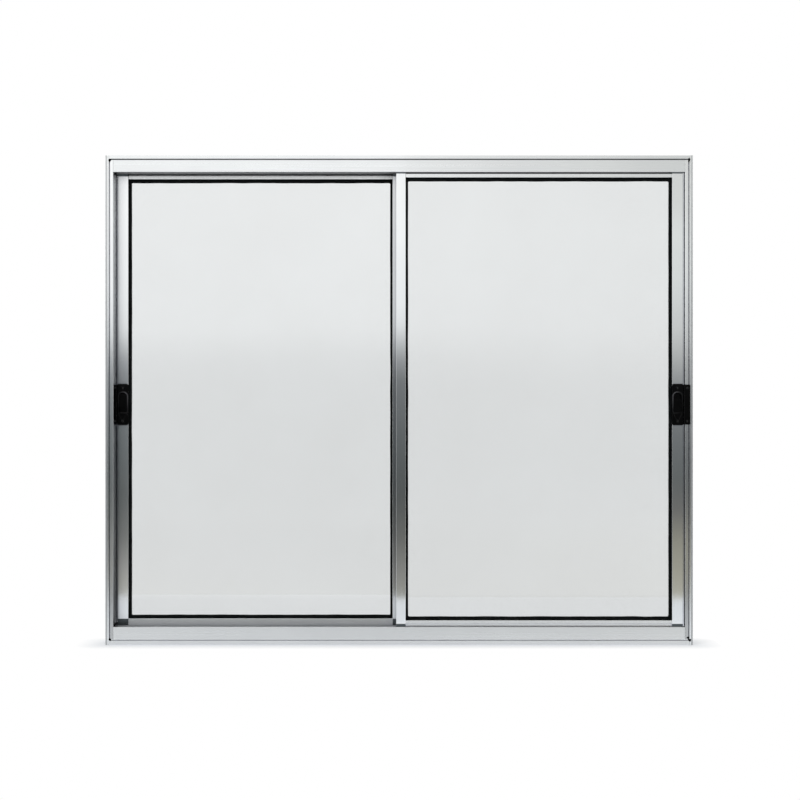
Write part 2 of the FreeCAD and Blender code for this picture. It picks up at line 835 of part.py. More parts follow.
def wheels(label, side, plane):
    """Flanged wheels that stand on the track, each with the pin it turns on."""
    members = []
    tread = "(track_wide + track_slack)"
    cone = f"(wheel_wide - {tread}) / 2"
    rim = "wheel_round + flange_tall"
    pin_half = "(half_neck - wall - housing_clear)"
    for number, centre in enumerate(roller_centres(side)):
        part_name = f"{label}_{number}_"
        shapes = [
            turned("Cylinder", part_name + "tread", {"Radius": "wheel_round", "Height": tread},
                   centre, f"{plane} + {tread} / 2", "wheel_axis"),
            turned("Cone", part_name + "near_flange",
                   {"Radius1": "wheel_round", "Radius2": rim, "Height": cone},
                   centre, f"{plane} - {tread} / 2", "wheel_axis"),
            turned("Cone", part_name + "far_flange",
                   {"Radius1": rim, "Radius2": "wheel_round", "Height": cone},
                   centre, f"{plane} + wheel_wide / 2", "wheel_axis"),
            turned("Prism", part_name + "pin",
                   {"Circumradius": "axle_round", "Height": f"{pin_half} * 2"},
                   centre, f"{plane} + {pin_half}", "wheel_axis"),
        ]
        shapes[-1].Polygon = AXLE_SIDES
        wheel = doc.addObject("Part::MultiFuse", f"{label}_{number}")
        wheel.Shapes = shapes
        members.append(wheel)
    return gather(label, members)


def guides(label, side, plane):
    """Nylon blocks on the top rail that keep the leaf upright in the head."""
    members = []
    foot = "half_neck - wall - housing_clear"
    head_half = "channel / 2 - guide_clear"
    floor = "sight_high + groove_deep + wall"
    starts = ("sight_in + guide_inset", "sight_out - guide_inset - guide_long")
    for number, start in enumerate(starts):
        edges = sorted((times(side, start), times(side, f"{start} + guide_long")), key=value)
        lower = block(f"{label}_{number}_foot", edges[0], edges[1],
                      f"{plane} - ({foot})", f"{plane} + {foot}", floor, "sash_high + past")
        upper = block(f"{label}_{number}_head", edges[0], edges[1],
                      f"{plane} - ({head_half})", f"{plane} + {head_half}",
                      "sash_high + housing_clear", "sash_high + guide_tall")
        guide = doc.addObject("Part::Fuse", f"{label}_{number}")
        guide.Base = lower
        guide.Tool = upper
        members.append(guide)
    return gather(label, members)


def pile_seals(label, side, plane):
    """Brush strips: on the rails' necks, inside the tongue, front and back."""
    members = []
    wall_face = "channel / 2 - pile_clear"
    ends = sorted((times(side, "sight_in"), times(side, "sight_out")), key=value)
    levels = (("height - head_cover + wall + pile_clear", "sash_high - pile_clear"),
              ("sash_low + pile_inset", "sash_low + pile_inset + pile_wide"))
    for level, (low, high) in enumerate(levels):
        for flank, (near, far) in enumerate((("0 - (" + wall_face + ")", "0 - half_neck"),
                                             ("half_neck", wall_face))):
            members.append(block(f"{label}_{level}{flank}", ends[0], ends[1],
                                 f"{plane} + {near}", f"{plane} + {far}", low, high))
    seat = sorted((times(side, "sight_out + stile_face"), times(side, "side - web - pile_clear")),
                  key=value)
    half = "half_neck - tongue_hook - pile_clear"
    members.append(block(f"{label}_tongue", seat[0], seat[1], f"{plane} - ({half})",
                         f"{plane} + {half}", "stile_low", "sash_high"))
    return gather(label, members)


# Latches


def latch_x(side, out):
    return times(side, f"sight_out + ({out})")


def latch_body(label, side, plane):
    """Moulded case: a face plate, a box let into the stile and an arched finger recess."""
    body = new_body(label)
    plate = rectangle(latch_x(side, "0 - latch_margin"), latch_x(side, "latch_out"),
                      "latch_mid - latch_tall / 2", "latch_mid + latch_tall / 2")
    pad(body, "Y", [plate], "latch_front", "0 - half_stile")
    round_edges(body, "latch_round", along_y)
    face = value("latch_front")
    bevel_edges(body, "case_bevel", lambda edge: lies_at(edge, face))
    box = rectangle(latch_x(side, "box_side"), latch_x(side, "box_out"),
                    "latch_mid - box_half", "latch_mid + box_half")
    pad(body, "Y", [box], "0 - half_stile", "box_back")
    recess = rectangle(latch_x(side, "box_side + shell"), latch_x(side, "box_out - shell"),
                       "latch_mid - recess_low", "latch_mid + recess_high")
    cut(body, "Y", [recess], "latch_front - past", "box_back - shell")
    crown = value("latch_mid + recess_high")
    round_edges(body, "(box_out - box_side - shell * 2) / 2 - arch_flat",
                lambda edge: along_y(edge) and abs(edge.CenterOfMass.z - crown) < 0.01)
    left, right = sorted(value(latch_x(side, u)) for u in ("box_side", "box_out"))
    bevel_edges(body, "rim_bevel", lambda edge: lies_at(edge, face)
                and left < edge.CenterOfMass.x < right
                and abs(edge.CenterOfMass.z - value("latch_mid")) < value("box_half"))
    hook_way = rectangle(latch_x(side, "box_out - shell - past"),
                         latch_x(side, "box_out + past"),
                         "latch_mid - hook_half - slide_clear",
                         "latch_mid + hook_half + slide_clear")
    cut(body, "Y", [hook_way], "hook_front - slide_clear",
        "hook_front + hook_thick + slide_clear")
    body.setExpression("Placement.Base.y", bound(plane))
    return body


def lies_at(edge, depth):
    """True for an edge that lies in the plane at a depth."""
    return all(abs(vertex.Point.y - depth) < 1e-4 for vertex in edge.Vertexes)


def along_y(edge):
    """True for a straight edge that runs from front to back."""
    ends = [vertex.Point for vertex in edge.Vertexes]
    if len(ends) != 2:
        return False
    span = ends[1] - ends[0]
    return abs(span.x) < 1e-6 and abs(span.z) < 1e-6


def trigger(label, side, plane, lift):
    """The thumb slider in the recess, with a bold ridge along its top edge."""
    body = new_body(label)
    x_low = latch_x(side, "box_side + shell + slide_clear")
    x_high = latch_x(side, "box_out - shell - slide_clear")
    foot = f"latch_mid - recess_low + slide_clear + {lift}"
    top = f"{foot} + trigger_tall"
    face = "latch_front + trigger_drop"
    pad(body, "Y", [rectangle(x_low, x_high, foot, top)], face, "hook_front - pocket_slack")
    pad(body, "Y", [rectangle(x_low, x_high, f"{top} - ridge_tall", top)],
        f"{face} - ridge_proud", face)
    crest = value(f"{face} - ridge_proud")
    round_edges(body, "ridge_round", lambda edge: lies_at(edge, crest))
    rib = rectangle(x_low, x_high, f"{foot} + rib_pitch", f"{foot} + rib_pitch + rib_tall")
    ribs = pad(body, "Y", [rib], f"{face} - rib_proud", face)
    rows = body.newObject("PartDesign::LinearPattern", body.Label + "_ribs")
    rows.Originals = [ribs]
    rows.Direction = (ribs.Profile[0], ["V_Axis"])
    rows.setExpression("Length", bound("rib_pitch * 3"))
    rows.Occurrences = 4
    body.Tip = rows
    doc.recompute()
    body.setExpression("Placement.Base.y", bound(plane))
    return body


def hook(label, side, plane):
    """Steel bolt with a tooth that drops behind the keeper."""
    body = new_body(label)
    near = "box_out - shell - hook_inside"
    leg_back = "keeper_in + keeper_leg + hook_slack"
    outline = [
        (near, "latch_mid + hook_half"),
        (near, "latch_mid - hook_half"),
        (leg_back, "latch_mid - hook_half"),
        (leg_back, "latch_mid - hook_half - hook_tooth"),
        (f"{leg_back} + hook_tip", "latch_mid - hook_half - hook_tooth"),
        (f"{leg_back} + hook_tip + hook_slope", "latch_mid + hook_half"),
    ]
    outline = [(latch_x(side, u), z) for u, z in outline]
    pad(body, "Y", [outline], "hook_front", "hook_front + hook_thick")
    body.setExpression("Placement.Base.y", bound(plane))
    return body


def keeper(label, side, plane, seat, wide):
    """Strike on the frame: a flange over the frame's lip and a slotted leg behind it."""
    body = new_body(label)
    flange = rectangle(latch_x(side, "keeper_in"), latch_x(side, f"keeper_in + {wide}"),
                       "latch_mid - keeper_half", "latch_mid + keeper_half")
    pad(body, "Y", [flange], f"{seat} - keeper_thick", seat)
    outer = value(latch_x(side, f"keeper_in + {wide}"))
    round_edges(body, "keeper_round",
                lambda edge: along_y(edge) and abs(edge.CenterOfMass.x - outer) < 0.01)
    face = value(f"{seat} - keeper_thick")
    bevel_edges(body, "keeper_edge", lambda edge: lies_at(edge, face))
    leg = rectangle(latch_x(side, "keeper_in"), latch_x(side, "keeper_in + keeper_leg"),
                    "latch_mid - keeper_half", "latch_mid + keeper_half")
    pad(body, "Y", [leg], seat, "hook_front + hook_thick + slide_clear")
    way = rectangle(latch_x(side, "keeper_in - past"), latch_x(side, "keeper_in + keeper_leg"),
                    "latch_mid - hook_half - keeper_slot", "latch_mid + hook_half + keeper_slot")
    cut(body, "Y", [way], "hook_front - keeper_slot", "hook_front + hook_thick + past")
    body.setExpression("Placement.Base.y", bound(plane))
    return body


def leaf(name, side, plane, inward, low_notch, top_notch, skirt, lift):
    """All the pieces of one leaf."""
    return [
        outer_stile(f"{name}_sash_outer_stile", side, plane, low_notch, top_notch),
        meeting_stile(f"{name}_sash_meeting_stile", side, plane, inward, low_notch, top_notch),
        top_rail(f"{name}_sash_top_rail", side, plane),
        bottom_rail(f"{name}_sash_bottom_rail", side, plane, skirt),
        glass(f"{name}_sash_glass", side, plane),
        gasket(f"{name}_sash_gasket", side, plane),
        housings(f"{name}_sash_roller_housings", side, plane),
        wheels(f"{name}_sash_rollers", side, plane),
        guides(f"{name}_sash_top_guides", side, plane),
        pile_seals(f"{name}_sash_pile_seals", side, plane),
        latch_body(f"{name}_latch_case", side, plane),
        trigger(f"{name}_latch_trigger", side, plane, lift),
        hook(f"{name}_latch_hook", side, plane),
    ]


pieces = []
for name, side in (("left", -1), ("right", 1)):
    upright = jamb(f"frame_jamb_{name}", side)
    web_holes(upright, side)
    pieces.append(upright)
pieces.append(head())
pieces.append(sill())
pieces += leaf("right", 1, "0 - track", 1, "front_low_notch", "front_top_notch", None, "0")
pieces += leaf("left", -1, "0 + track", -1, "rear_low_notch", "rear_top_notch",
               "rear_skirt", "trigger_lift")
pieces.append(keeper("right_latch_keeper", 1, "0 - track", "front + track", "keeper_wide"))
pieces.append(keeper("left_latch_keeper", -1, "0 + track", "0 - mid_wall / 2 - track",
                     "(side - web - sight_out - keeper_in - slide_clear)"))

doc.recompute()

for item in doc.Objects:
    if "Invalid" in item.State or "Error" in item.State:
        raise ValueError(f"{item.Label} did not build: {item.State}")
for piece in pieces:
    if piece.Shape.isNull() or not piece.Shape.isValid():
        raise ValueError(f"{piece.Label} has no sound shape")

os.makedirs("parts", exist_ok=True)
for piece in pieces:
    piece.Shape.exportStep(f"parts/{piece.Label}.step")
print(len(pieces), "pieces written")
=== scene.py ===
# %% [markdown]
# # A sliding window, dressed for its portrait
# The window's metal, glass, rollers and latch boxes come in as solids that are already the
# right size and in the right place. This lesson gives them their finishes, and makes the
# few things that are better made here than in a solid modeller: the soft gasket, the
# moulded latch covers, the small screws, the end plates and the dabs of sealant.
# Everything is in metres. X runs to the right, Y away from the camera, Z up. The formulas
# of new pieces count in millimetres, and one helper turns them into metres.

import math

import bpy
import numpy as np
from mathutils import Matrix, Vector


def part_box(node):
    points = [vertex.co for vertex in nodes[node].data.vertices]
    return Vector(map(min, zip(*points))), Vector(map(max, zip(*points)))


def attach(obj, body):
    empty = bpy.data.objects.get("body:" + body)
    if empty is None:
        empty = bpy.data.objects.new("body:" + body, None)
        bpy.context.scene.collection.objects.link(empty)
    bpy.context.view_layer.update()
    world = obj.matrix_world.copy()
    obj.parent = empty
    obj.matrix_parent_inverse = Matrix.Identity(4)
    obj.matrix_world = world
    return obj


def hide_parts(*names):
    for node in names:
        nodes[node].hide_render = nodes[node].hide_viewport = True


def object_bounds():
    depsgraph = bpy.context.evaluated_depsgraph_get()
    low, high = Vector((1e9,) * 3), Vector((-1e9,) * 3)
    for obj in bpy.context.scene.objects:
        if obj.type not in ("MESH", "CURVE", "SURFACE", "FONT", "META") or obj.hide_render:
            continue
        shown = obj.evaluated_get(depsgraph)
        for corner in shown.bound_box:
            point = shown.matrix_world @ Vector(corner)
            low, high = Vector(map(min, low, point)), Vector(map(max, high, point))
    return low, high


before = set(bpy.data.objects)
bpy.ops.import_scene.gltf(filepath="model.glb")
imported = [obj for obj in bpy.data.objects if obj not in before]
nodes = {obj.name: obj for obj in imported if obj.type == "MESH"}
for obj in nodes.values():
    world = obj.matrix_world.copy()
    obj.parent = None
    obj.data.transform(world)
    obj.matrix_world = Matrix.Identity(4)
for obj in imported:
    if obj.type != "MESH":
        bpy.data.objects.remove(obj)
solid_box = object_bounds()
MM = 0.001
print(len(nodes), "nodes, size in metres:", [round(b - a, 4) for a, b in zip(*solid_box)])

# %% [markdown]
# ## A helper for new surfaces
# Every new piece below is a grid: a shape with two parameters, worked out for all its
# points at once. One could push vertices about by hand, but a formula can be changed and
# run again. The helper turns a grid of points into a mesh and closes it where asked.

# %% Grid to mesh


def box_mm(node):
    """The low and the high corner of a node's box, in millimetres."""
    return [np.array(corner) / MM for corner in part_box(node)]


def grid_faces(rows, columns, close_rows, close_columns):
    """Four-sided faces of a grid of points: each joins a point to its three neighbours."""
    r = np.arange(rows if close_rows else rows - 1)
    c = np.arange(columns if close_columns else columns - 1)
    r, c = np.meshgrid(r, c, indexing="ij")
    after_r, after_c = (r + 1) % rows, (c + 1) % columns
    corners = [r * columns + c, after_r * columns + c,
               after_r * columns + after_c, r * columns + after_c]
    return np.stack(corners, axis=-1).reshape(-1, 4)


def make_piece(name, points, faces, material, smooth=True):
    """Build one mesh object at the origin from points in millimetres."""
    mesh = bpy.data.meshes.new(name)
    mesh.from_pydata((np.asarray(points, float).reshape(-1, 3) * MM).tolist(), [],
                     [list(face) for face in faces])
    mesh.polygons.foreach_set("use_smooth", np.full(len(mesh.polygons), smooth))
    mesh.materials.append(material)
    mesh.update()
    piece = bpy.data.objects.new(name, mesh)
    bpy.context.scene.collection.objects.link(piece)
    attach(piece, "root")
    print(name, len(mesh.vertices), "points", len(mesh.polygons), "faces")
    return piece


print("an open grid of 3 by 4 points has", len(grid_faces(3, 4, False, False)), "faces")

# %% [markdown]
# ## Closed shells
# Screws, plates and dabs are closed shells. A stack of rings is closed at both ends by one
# flat face each. A screw that looks the other way would come out inside out, so its faces
# are turned.

# %% Loft and screw

SCREW_RINGS = [1.0, 1.0, 0.97, 0.9, 0.8, 0.68, 0.58, 0.46, 0.34, 0.22, 0.1, 0.02]
SCREW_ROUND, SCREW_DROP = 48, 0.75
TROUGH_WIDE, TROUGH_DEEP, TROUGH_END, TROUGH_FADE = 0.13, 0.55, 0.62, 0.1


def loft(name, rings, material, smooth=True, turn=False):
    """Join a stack of closed rings of points, and close the first and the last."""
    rows, columns = rings.shape[:2]
    faces = grid_faces(rows, columns, False, True).tolist()
    faces.append(list(range(columns))[::-1])
    faces.append(list(range((rows - 1) * columns, rows * columns)))
    if turn:
        faces = [face[::-1] for face in faces]
    make_piece(name, rings, faces, material, smooth)


def screw(name, middle, towards, radius, proud, material):
    """A pan head with a cross recess.

    Its height over the seat is a low dome that drops with the fourth power of the way
    out, less a cross: two troughs along the axes that fade out at six tenths of the
    radius. All sizes but the radius and the height are shares of those two."""
    angle = np.linspace(0, 2 * math.pi, SCREW_ROUND, endpoint=False)
    r, a = np.meshgrid(np.array(SCREW_RINGS), angle, indexing="ij")
    across, along = r * np.cos(a), r * np.sin(a)
    trough = np.exp(-(across / TROUGH_WIDE) ** 2) + np.exp(-(along / TROUGH_WIDE) ** 2)
    fade = np.clip((TROUGH_END - r) / TROUGH_FADE, 0, 1)
    height = proud * (1 - r ** 4 * SCREW_DROP - TROUGH_DEEP * np.clip(trough, 0, 1) * fade)
    height[0] = 0.0
    axes = {"x": (1, 2, 0), "y": (0, 2, 1)}[towards[1]]
    sign = 1 if towards[0] == "+" else -1
    points = np.empty((*r.shape, 3))
    points[..., axes[0]] = middle[axes[0]] + radius * across
    points[..., axes[1]] = middle[axes[1]] + radius * along
    points[..., axes[2]] = middle[axes[2]] + sign * height
    flip = (sign > 0) == (towards[1] == "y")
    loft(name, points, material, turn=flip)


print("a screw's head is", len(SCREW_RINGS), "rings of", SCREW_ROUND, "points")

# %% [markdown]
# ## Helpers for finishes
# A finish is a small network of nodes that ends in one Principled shader. Each of them
# starts from a pattern that is fixed to the object (Object coordinates), never to the
# camera. The recipe is shared: a stretched noise drives a small change of colour, of
# roughness and of height, and the values that differ are given by name.

# %% Start a finish


def new_finish(name, **values):
    """A material with one Principled shader whose plain sockets are set by name."""
    material = bpy.data.materials.new(name)
    material.use_nodes = True
    made, links = material.node_tree.nodes, material.node_tree.links
    shader = made["Principled BSDF"]
    for socket, number in values.items():
        shader.inputs[socket.replace("_", " ")].default_value = number
    print("finish", name)
    return material, made, links, shader


def pattern(made, links, stretch, scale, detail=4.0, rough=0.55, offset=(0, 0, 0)):
    """Noise on Object coordinates, stretched by one factor along each axis."""
    where = made.new("ShaderNodeTexCoord")
    mapping = made.new("ShaderNodeMapping")
    mapping.inputs["Scale"].default_value = stretch
    mapping.inputs["Location"].default_value = offset
    noise = made.new("ShaderNodeTexNoise")
    noise.inputs["Scale"].default_value = scale
    noise.inputs["Detail"].default_value = detail
    noise.inputs["Roughness"].default_value = rough
    links.new(where.outputs["Object"], mapping.inputs["Vector"])
    links.new(mapping.outputs["Vector"], noise.inputs["Vector"])
    return noise.outputs["Fac"]


print("helpers that start a finish: new_finish, pattern")

# %% [markdown]
# ## From a pattern to a socket
# A pattern is a number between nought and one at each point. A ramp turns it into a
# colour, a range turns it into a roughness, and a bump into small dents that tilt the
# light and move no points.

# %% Use a pattern


def ramp(made, links, source, stops):
    """A colour ramp: (position, grey or colour) stops over a pattern."""
    node = made.new("ShaderNodeValToRGB")
    elements = node.color_ramp.elements
    while len(elements) < len(stops):
        elements.new(0.5)
    for element, (position, colour) in zip(elements, stops):
        colour = (colour,) * 3 if isinstance(colour, (int, float)) else colour
        element.position = position
        element.color = (*colour, 1.0)
    links.new(source, node.inputs["Fac"])
    return node.outputs["Color"]


def spread(made, links, source, low, high, start=0.0, end=1.0):
    """Map a pattern's value from start..end to low..high."""
    node = made.new("ShaderNodeMapRange")
    node.inputs["From Min"].default_value = start
    node.inputs["From Max"].default_value = end
    node.inputs["To Min"].default_value = low
    node.inputs["To Max"].default_value = high
    links.new(source, node.inputs["Value"])
    return node.outputs["Result"]


def bump(made, links, shader, source, strength, distance):
    """Give the shader a height pattern; distance is the real height in metres."""
    node = made.new("ShaderNodeBump")
    node.inputs["Strength"].default_value = strength
    node.inputs["Distance"].default_value = distance
    links.new(source, node.inputs["Height"])
    links.new(node.outputs["Normal"], shader.inputs["Normal"])


print("helpers that use a pattern: ramp, spread, bump")

# %% [markdown]
# ## Sums and mixtures
# The aluminium, the floor and the card mix several patterns. Each helper here makes one
# step of such a sum, so that a finish can be read as a list of steps.

# %% Steps of a finish

WHITE = (1, 1, 1, 1)


def mix(made, links, factor, first, second, blend="MIX"):
    """Mix two colours. The factor and the colours are fixed values or patterns."""
    node = made.new("ShaderNodeMix")
    node.data_type = "RGBA"
    node.blend_type = blend
    for socket, value in (("Factor", factor), ("A", first), ("B", second)):
        if isinstance(value, bpy.types.NodeSocket):
            links.new(value, node.inputs[socket])
        else:
            node.inputs[socket].default_value = value
    return node.outputs["Result"]


def multiply(made, links, first, second):
    """Multiply two colours."""
    return mix(made, links, 1.0, first, second, blend="MULTIPLY")


def arithmetic(made, links, operation, *patterns):
    """One step of arithmetic on one or two patterns."""
    node = made.new("ShaderNodeMath")
    node.operation = operation
    for source, socket in zip(patterns, node.inputs):
        links.new(source, socket)
    return node.outputs["Value"]


def object_axes(made, links):
    """X, Y and Z of each point, fixed to the object."""
    where = made.new("ShaderNodeTexCoord")
    split = made.new("ShaderNodeSeparateXYZ")
    links.new(where.outputs["Object"], split.inputs["Vector"])
    return split.outputs["X"], split.outputs["Y"], split.outputs["Z"]


print("steps of a finish: mix, multiply, arithmetic, object_axes")

# %% [markdown]
# ## Aluminium
# Frame and leaves are pushed through a die, so each bar carries fine lines along its
# length. They smear a reflection across the bar and leave it clear along the bar, and
# that smear is why the bars darken softly towards every corner. The shader's anisotropy
# does it, turned by a tangent that points across the lines. Slots and corners are darkened
# in the colour where the Ambient Occlusion node finds them hemmed in: painted shade, with a
# little grime. Brushed metal could be made with an image, but a stretched noise has no
# seams and no fixed size.

# %% Where painted shade and grime sit

SHADE_SAMPLES, INMOST_SHARE, COOLER = 10, 0.6, 1.05


def grime_and_painted_shade(made, links, reach, closed, open_at, darkest, inmost=None):
    """Painted shade, with a little grime, where the surface is hemmed in within a reach:
    from a darkest tone to white.

    The inmost tone is for the most hemmed-in places, such as a tongue in its slot, which
    may be painted lighter than the corner in front of it."""
    corner = made.new("ShaderNodeAmbientOcclusion")
    corner.samples = SHADE_SAMPLES
    corner.inputs["Distance"].default_value = reach
    stops = [(closed, (darkest, darkest, darkest * COOLER)), (open_at, 1.0)]
    if inmost is not None:
        stops.insert(0, (closed * INMOST_SHARE, inmost))
    return ramp(made, links, corner.outputs["AO"], stops)


# What is looked for here is painted shade, with a little grime.
print("grime is looked for with", SHADE_SAMPLES, "short rays from each point")

# %% [markdown]
# ## One recipe for every bar
# The recipe is a product: the clean metal, times the painted shade and little grime in its
# narrow slots, times the painted shade of its wide recesses, times the painted shade at its
# foot. Each factor is a pattern between dark and white, so one can be looked at alone by
# leaving the others out.

# %% Aluminium, upright and level

LINE_ALONG, LINE_ACROSS, LINE_STRENGTH, LINE_HEIGHT = 1.6, 260.0, 0.06, 0.00003
CLEAN_TONES = [(0.3, (0.87, 0.88, 0.885)), (0.7, (0.91, 0.92, 0.92))]
SLOT_REACH, FRONT_SHUT, DEEP_SHUT = 0.012, (0.06, 0.5), (0.10, 0.7)
RECESS_REACH, RECESS_SHUT, TONGUE_SHUT = 0.045, 0.15, 0.3
FRONT_SLOT_Y, DEEP_SLOT_Y = -0.0265, -0.0250
FOOT_SHADE_FULL, FOOT_SHADE_HALF, FOOT_SHADE_END = 0.09, 0.15, 0.21
LIP_UNSHADED_X, LIP_DULL_X, LIP_ROUGH = (0.5915, 0.5930), (0.5945, 0.5965), 0.7


def aluminium(name, lines_along, rough, shade, shade_end=0.62, front_slot=1.0,
              deep_slot=1.0, inmost=None, foot_shade=1.0):
    """Satin metal with die lines along one axis.

    Its slots have one tone in front and another where they lie deeper, painted shade with a
    little grime; a wide soft painted shade fills its recesses, and the frame's outermost lips
    are scuffed dull. A painted shade, given as a tone, lies on the foot of an upright bar,
    inside the lips, and fades out as the bar rises."""
    material, made, links, shader = new_finish(name, Metallic=1.0, Anisotropic=0.85)
    x, y, z = object_axes(made, links)
    sideways = arithmetic(made, links, "ABSOLUTE", x)
    stretch = tuple(LINE_ALONG if axis == lines_along else LINE_ACROSS for axis in "XYZ")
    lines = pattern(made, links, stretch, 1.0, detail=3.0, rough=0.7)
    cloud = pattern(made, links, (1, 1, 1), 9.0, detail=3.0, offset=(3.1, 1.7, 0.4))
    clean = ramp(made, links, cloud, CLEAN_TONES)
    # Slots: painted shade with a little grime, one tone in front and one deeper.
    slots = mix(made, links,
                spread(made, links, y, 0.0, 1.0, start=FRONT_SLOT_Y, end=DEEP_SLOT_Y),
                grime_and_painted_shade(made, links, SLOT_REACH, *FRONT_SHUT, front_slot),
                grime_and_painted_shade(made, links, SLOT_REACH, *DEEP_SHUT, deep_slot))
    # Recesses: a wide painted shade.
    recess = grime_and_painted_shade(made, links, RECESS_REACH,
                           TONGUE_SHUT if inmost else RECESS_SHUT, shade_end, shade, inmost)
    # Foot of an upright bar: a painted shade, kept off the outermost lips.
    on_lip = spread(made, links, sideways, 0.0, 1.0, start=LIP_UNSHADED_X[0],
                    end=LIP_UNSHADED_X[1])
    by_height = ramp(made, links, z, [(FOOT_SHADE_FULL, foot_shade), (FOOT_SHADE_HALF, (foot_shade + 1) / 2),
                                      (FOOT_SHADE_END, 1.0)])
    foot_shading = mix(made, links, on_lip, by_height, WHITE)
    colour = multiply(made, links, multiply(made, links, clean, slots), recess)
    links.new(multiply(made, links, colour, foot_shading), shader.inputs["Base Color"])
    roughness = arithmetic(
        made, links, "MAXIMUM", spread(made, links, lines, *rough, start=0.25, end=0.75),
        spread(made, links, sideways, 0.0, LIP_ROUGH, start=LIP_DULL_X[0],
               end=LIP_DULL_X[1]))
    links.new(roughness, shader.inputs["Roughness"])
    across = made.new("ShaderNodeCombineXYZ")
    across.inputs["X" if lines_along == "Z" else "Z"].default_value = 1.0
    links.new(across.outputs["Vector"], shader.inputs["Tangent"])
    bump(made, links, shader, lines, LINE_STRENGTH, LINE_HEIGHT)
    return material


print("the lines are", round(LINE_ACROSS / LINE_ALONG), "times as long as they are wide")

# %% [markdown]
# ## Eight bars
# The stiles are the smoothest and the left leaf's bottom rail is the dullest. The slots of
# the head and of the top rails are painted nearly black, a painted shade; the rear leaf's
# stiles take more painted shade than the front leaf's, and a painted shade lies on the feet
# of the jambs.

# %% The bars' metals

jamb_metal = aluminium("jamb_metal", "Z", (0.20, 0.27), shade=0.5, deep_slot=0.6,
                       foot_shade=0.57)
head_metal = aluminium("head_metal", "X", (0.25, 0.33), shade=0.10, shade_end=0.85,
                       deep_slot=0.02)
sill_metal = aluminium("sill_metal", "X", (0.25, 0.33), shade=0.95, deep_slot=0.6)
front_stile_metal = aluminium("front_stile_metal", "Z", (0.09, 0.14), shade=0.65,
                              shade_end=0.92, inmost=1.0)
rear_stile_metal = aluminium("rear_stile_metal", "Z", (0.09, 0.14), shade=0.35,
                             shade_end=0.85, inmost=1.0)
top_rail_metal = aluminium("top_rail_metal", "X", (0.2, 0.28), shade=0.06,
                           shade_end=0.75, front_slot=0.10, deep_slot=0.02)
bottom_rail_metal = aluminium("bottom_rail_metal", "X", (0.2, 0.28), shade=0.8,
                              front_slot=0.30)
rear_rail_metal = aluminium("rear_rail_metal", "X", (0.5, 0.58), shade=1.0, shade_end=0.8)

# %% [markdown]
# ## Glass
# Clear float glass is nearly colourless face on, and a little green in its depth. It has
# a few dull marks where fingers and cleaning left them. Real thickness and the real index
# of refraction give its clear body. Window glass also has a hard coat against heat loss,
# which makes it mirror a little more: the shader's own coat does that.

# %% Glass

glass, made, links, shader = new_finish(
    "window_glass", Transmission_Weight=1.0, IOR=1.52, Coat_Weight=1.0, Coat_IOR=1.86,
    Coat_Roughness=0.02)
film = pattern(made, links, (1, 1, 1), 5.0, detail=5.0)
film_colours = [(0.35, (0.778, 0.796, 0.80)), (0.68, (0.760, 0.776, 0.778))]
links.new(ramp(made, links, film, film_colours), shader.inputs["Base Color"])
links.new(spread(made, links, film, 0.0, 0.02, start=0.55, end=0.8),
          shader.inputs["Roughness"])

# %% [markdown]
# ## Rubber and plastics
# The gasket is matt black rubber that has picked up a little dust. The latches are
# injection-moulded black plastic with a fine grain, greyer on the band round the arch, a
# painted highlight: the covers carry it as a number on each point. Rollers, housings and
# guides are grey nylon, and the brush strips are grey hairs.

# %% Rubber and plastics

MOTTLE_SHARE, MOTTLE_START, MOTTLE_END, GRAIN_STRENGTH = 0.04, 0.35, 0.72, 0.35


def moulded(name, dark, light, grain, rough, height, shine=0.5, stretch=(1, 1, 1),
            highlight_colour=None):
    """A moulded finish: mottled between two colours, with a fine grain in its surface.

    Where a highlight colour is given, each point's number for the painted highlight mixes it
    in."""
    material, made, links, shader = new_finish(name, Specular_IOR_Level=shine)
    mottle = pattern(made, links, stretch, grain * MOTTLE_SHARE, detail=6.0)
    colour = ramp(made, links, mottle, [(MOTTLE_START, dark), (MOTTLE_END, light)])
    # A painted highlight: a greyer colour mixed in by each point's number.
    if highlight_colour is not None:
        painted_highlight = made.new("ShaderNodeAttribute")
        painted_highlight.attribute_name = "painted_highlight"
        colour = mix(made, links, painted_highlight.outputs["Fac"], colour, highlight_colour)
    links.new(colour, shader.inputs["Base Color"])
    fine = pattern(made, links, stretch, grain, detail=2.0, offset=(0.7, 0.2, 0.9))
    links.new(spread(made, links, fine, *rough, start=0.3, end=0.7),
              shader.inputs["Roughness"])
    bump(made, links, shader, fine, GRAIN_STRENGTH, height)
    return material


rubber = moulded("gasket_rubber", (0.002, 0.003, 0.003), (0.007, 0.008, 0.008),
                 900.0, (0.5, 0.7), 0.00006, shine=0.05)
# The latch plastic carries a painted highlight in a greyer colour.
black_plastic = moulded("latch_black_plastic", 0.0004, 0.0014, 1600.0, (0.17, 0.25),
                        0.00002, shine=0.12, highlight_colour=(0.085, 0.083, 0.088, 1.0))
grey_plastic = moulded("nylon_grey", (0.30, 0.31, 0.32), (0.38, 0.39, 0.40),
                       1200.0, (0.4, 0.6), 0.00004)
pile = moulded("brush_pile", (0.26, 0.265, 0.27), (0.40, 0.41, 0.42),
               500.0, (0.8, 0.95), 0.0004, shine=0.2, stretch=(1, 0.05, 1))

# %% [markdown]
# ## Zinc-plated and darkened steel
# The latch hooks and the corner screws are steel with a bright zinc coat, which is a
# little cloudy and slightly warm beside the aluminium. The latch screws are blackened,
# and the end plates are a dull dark grey. All three are one recipe with other numbers.

# %% Steel


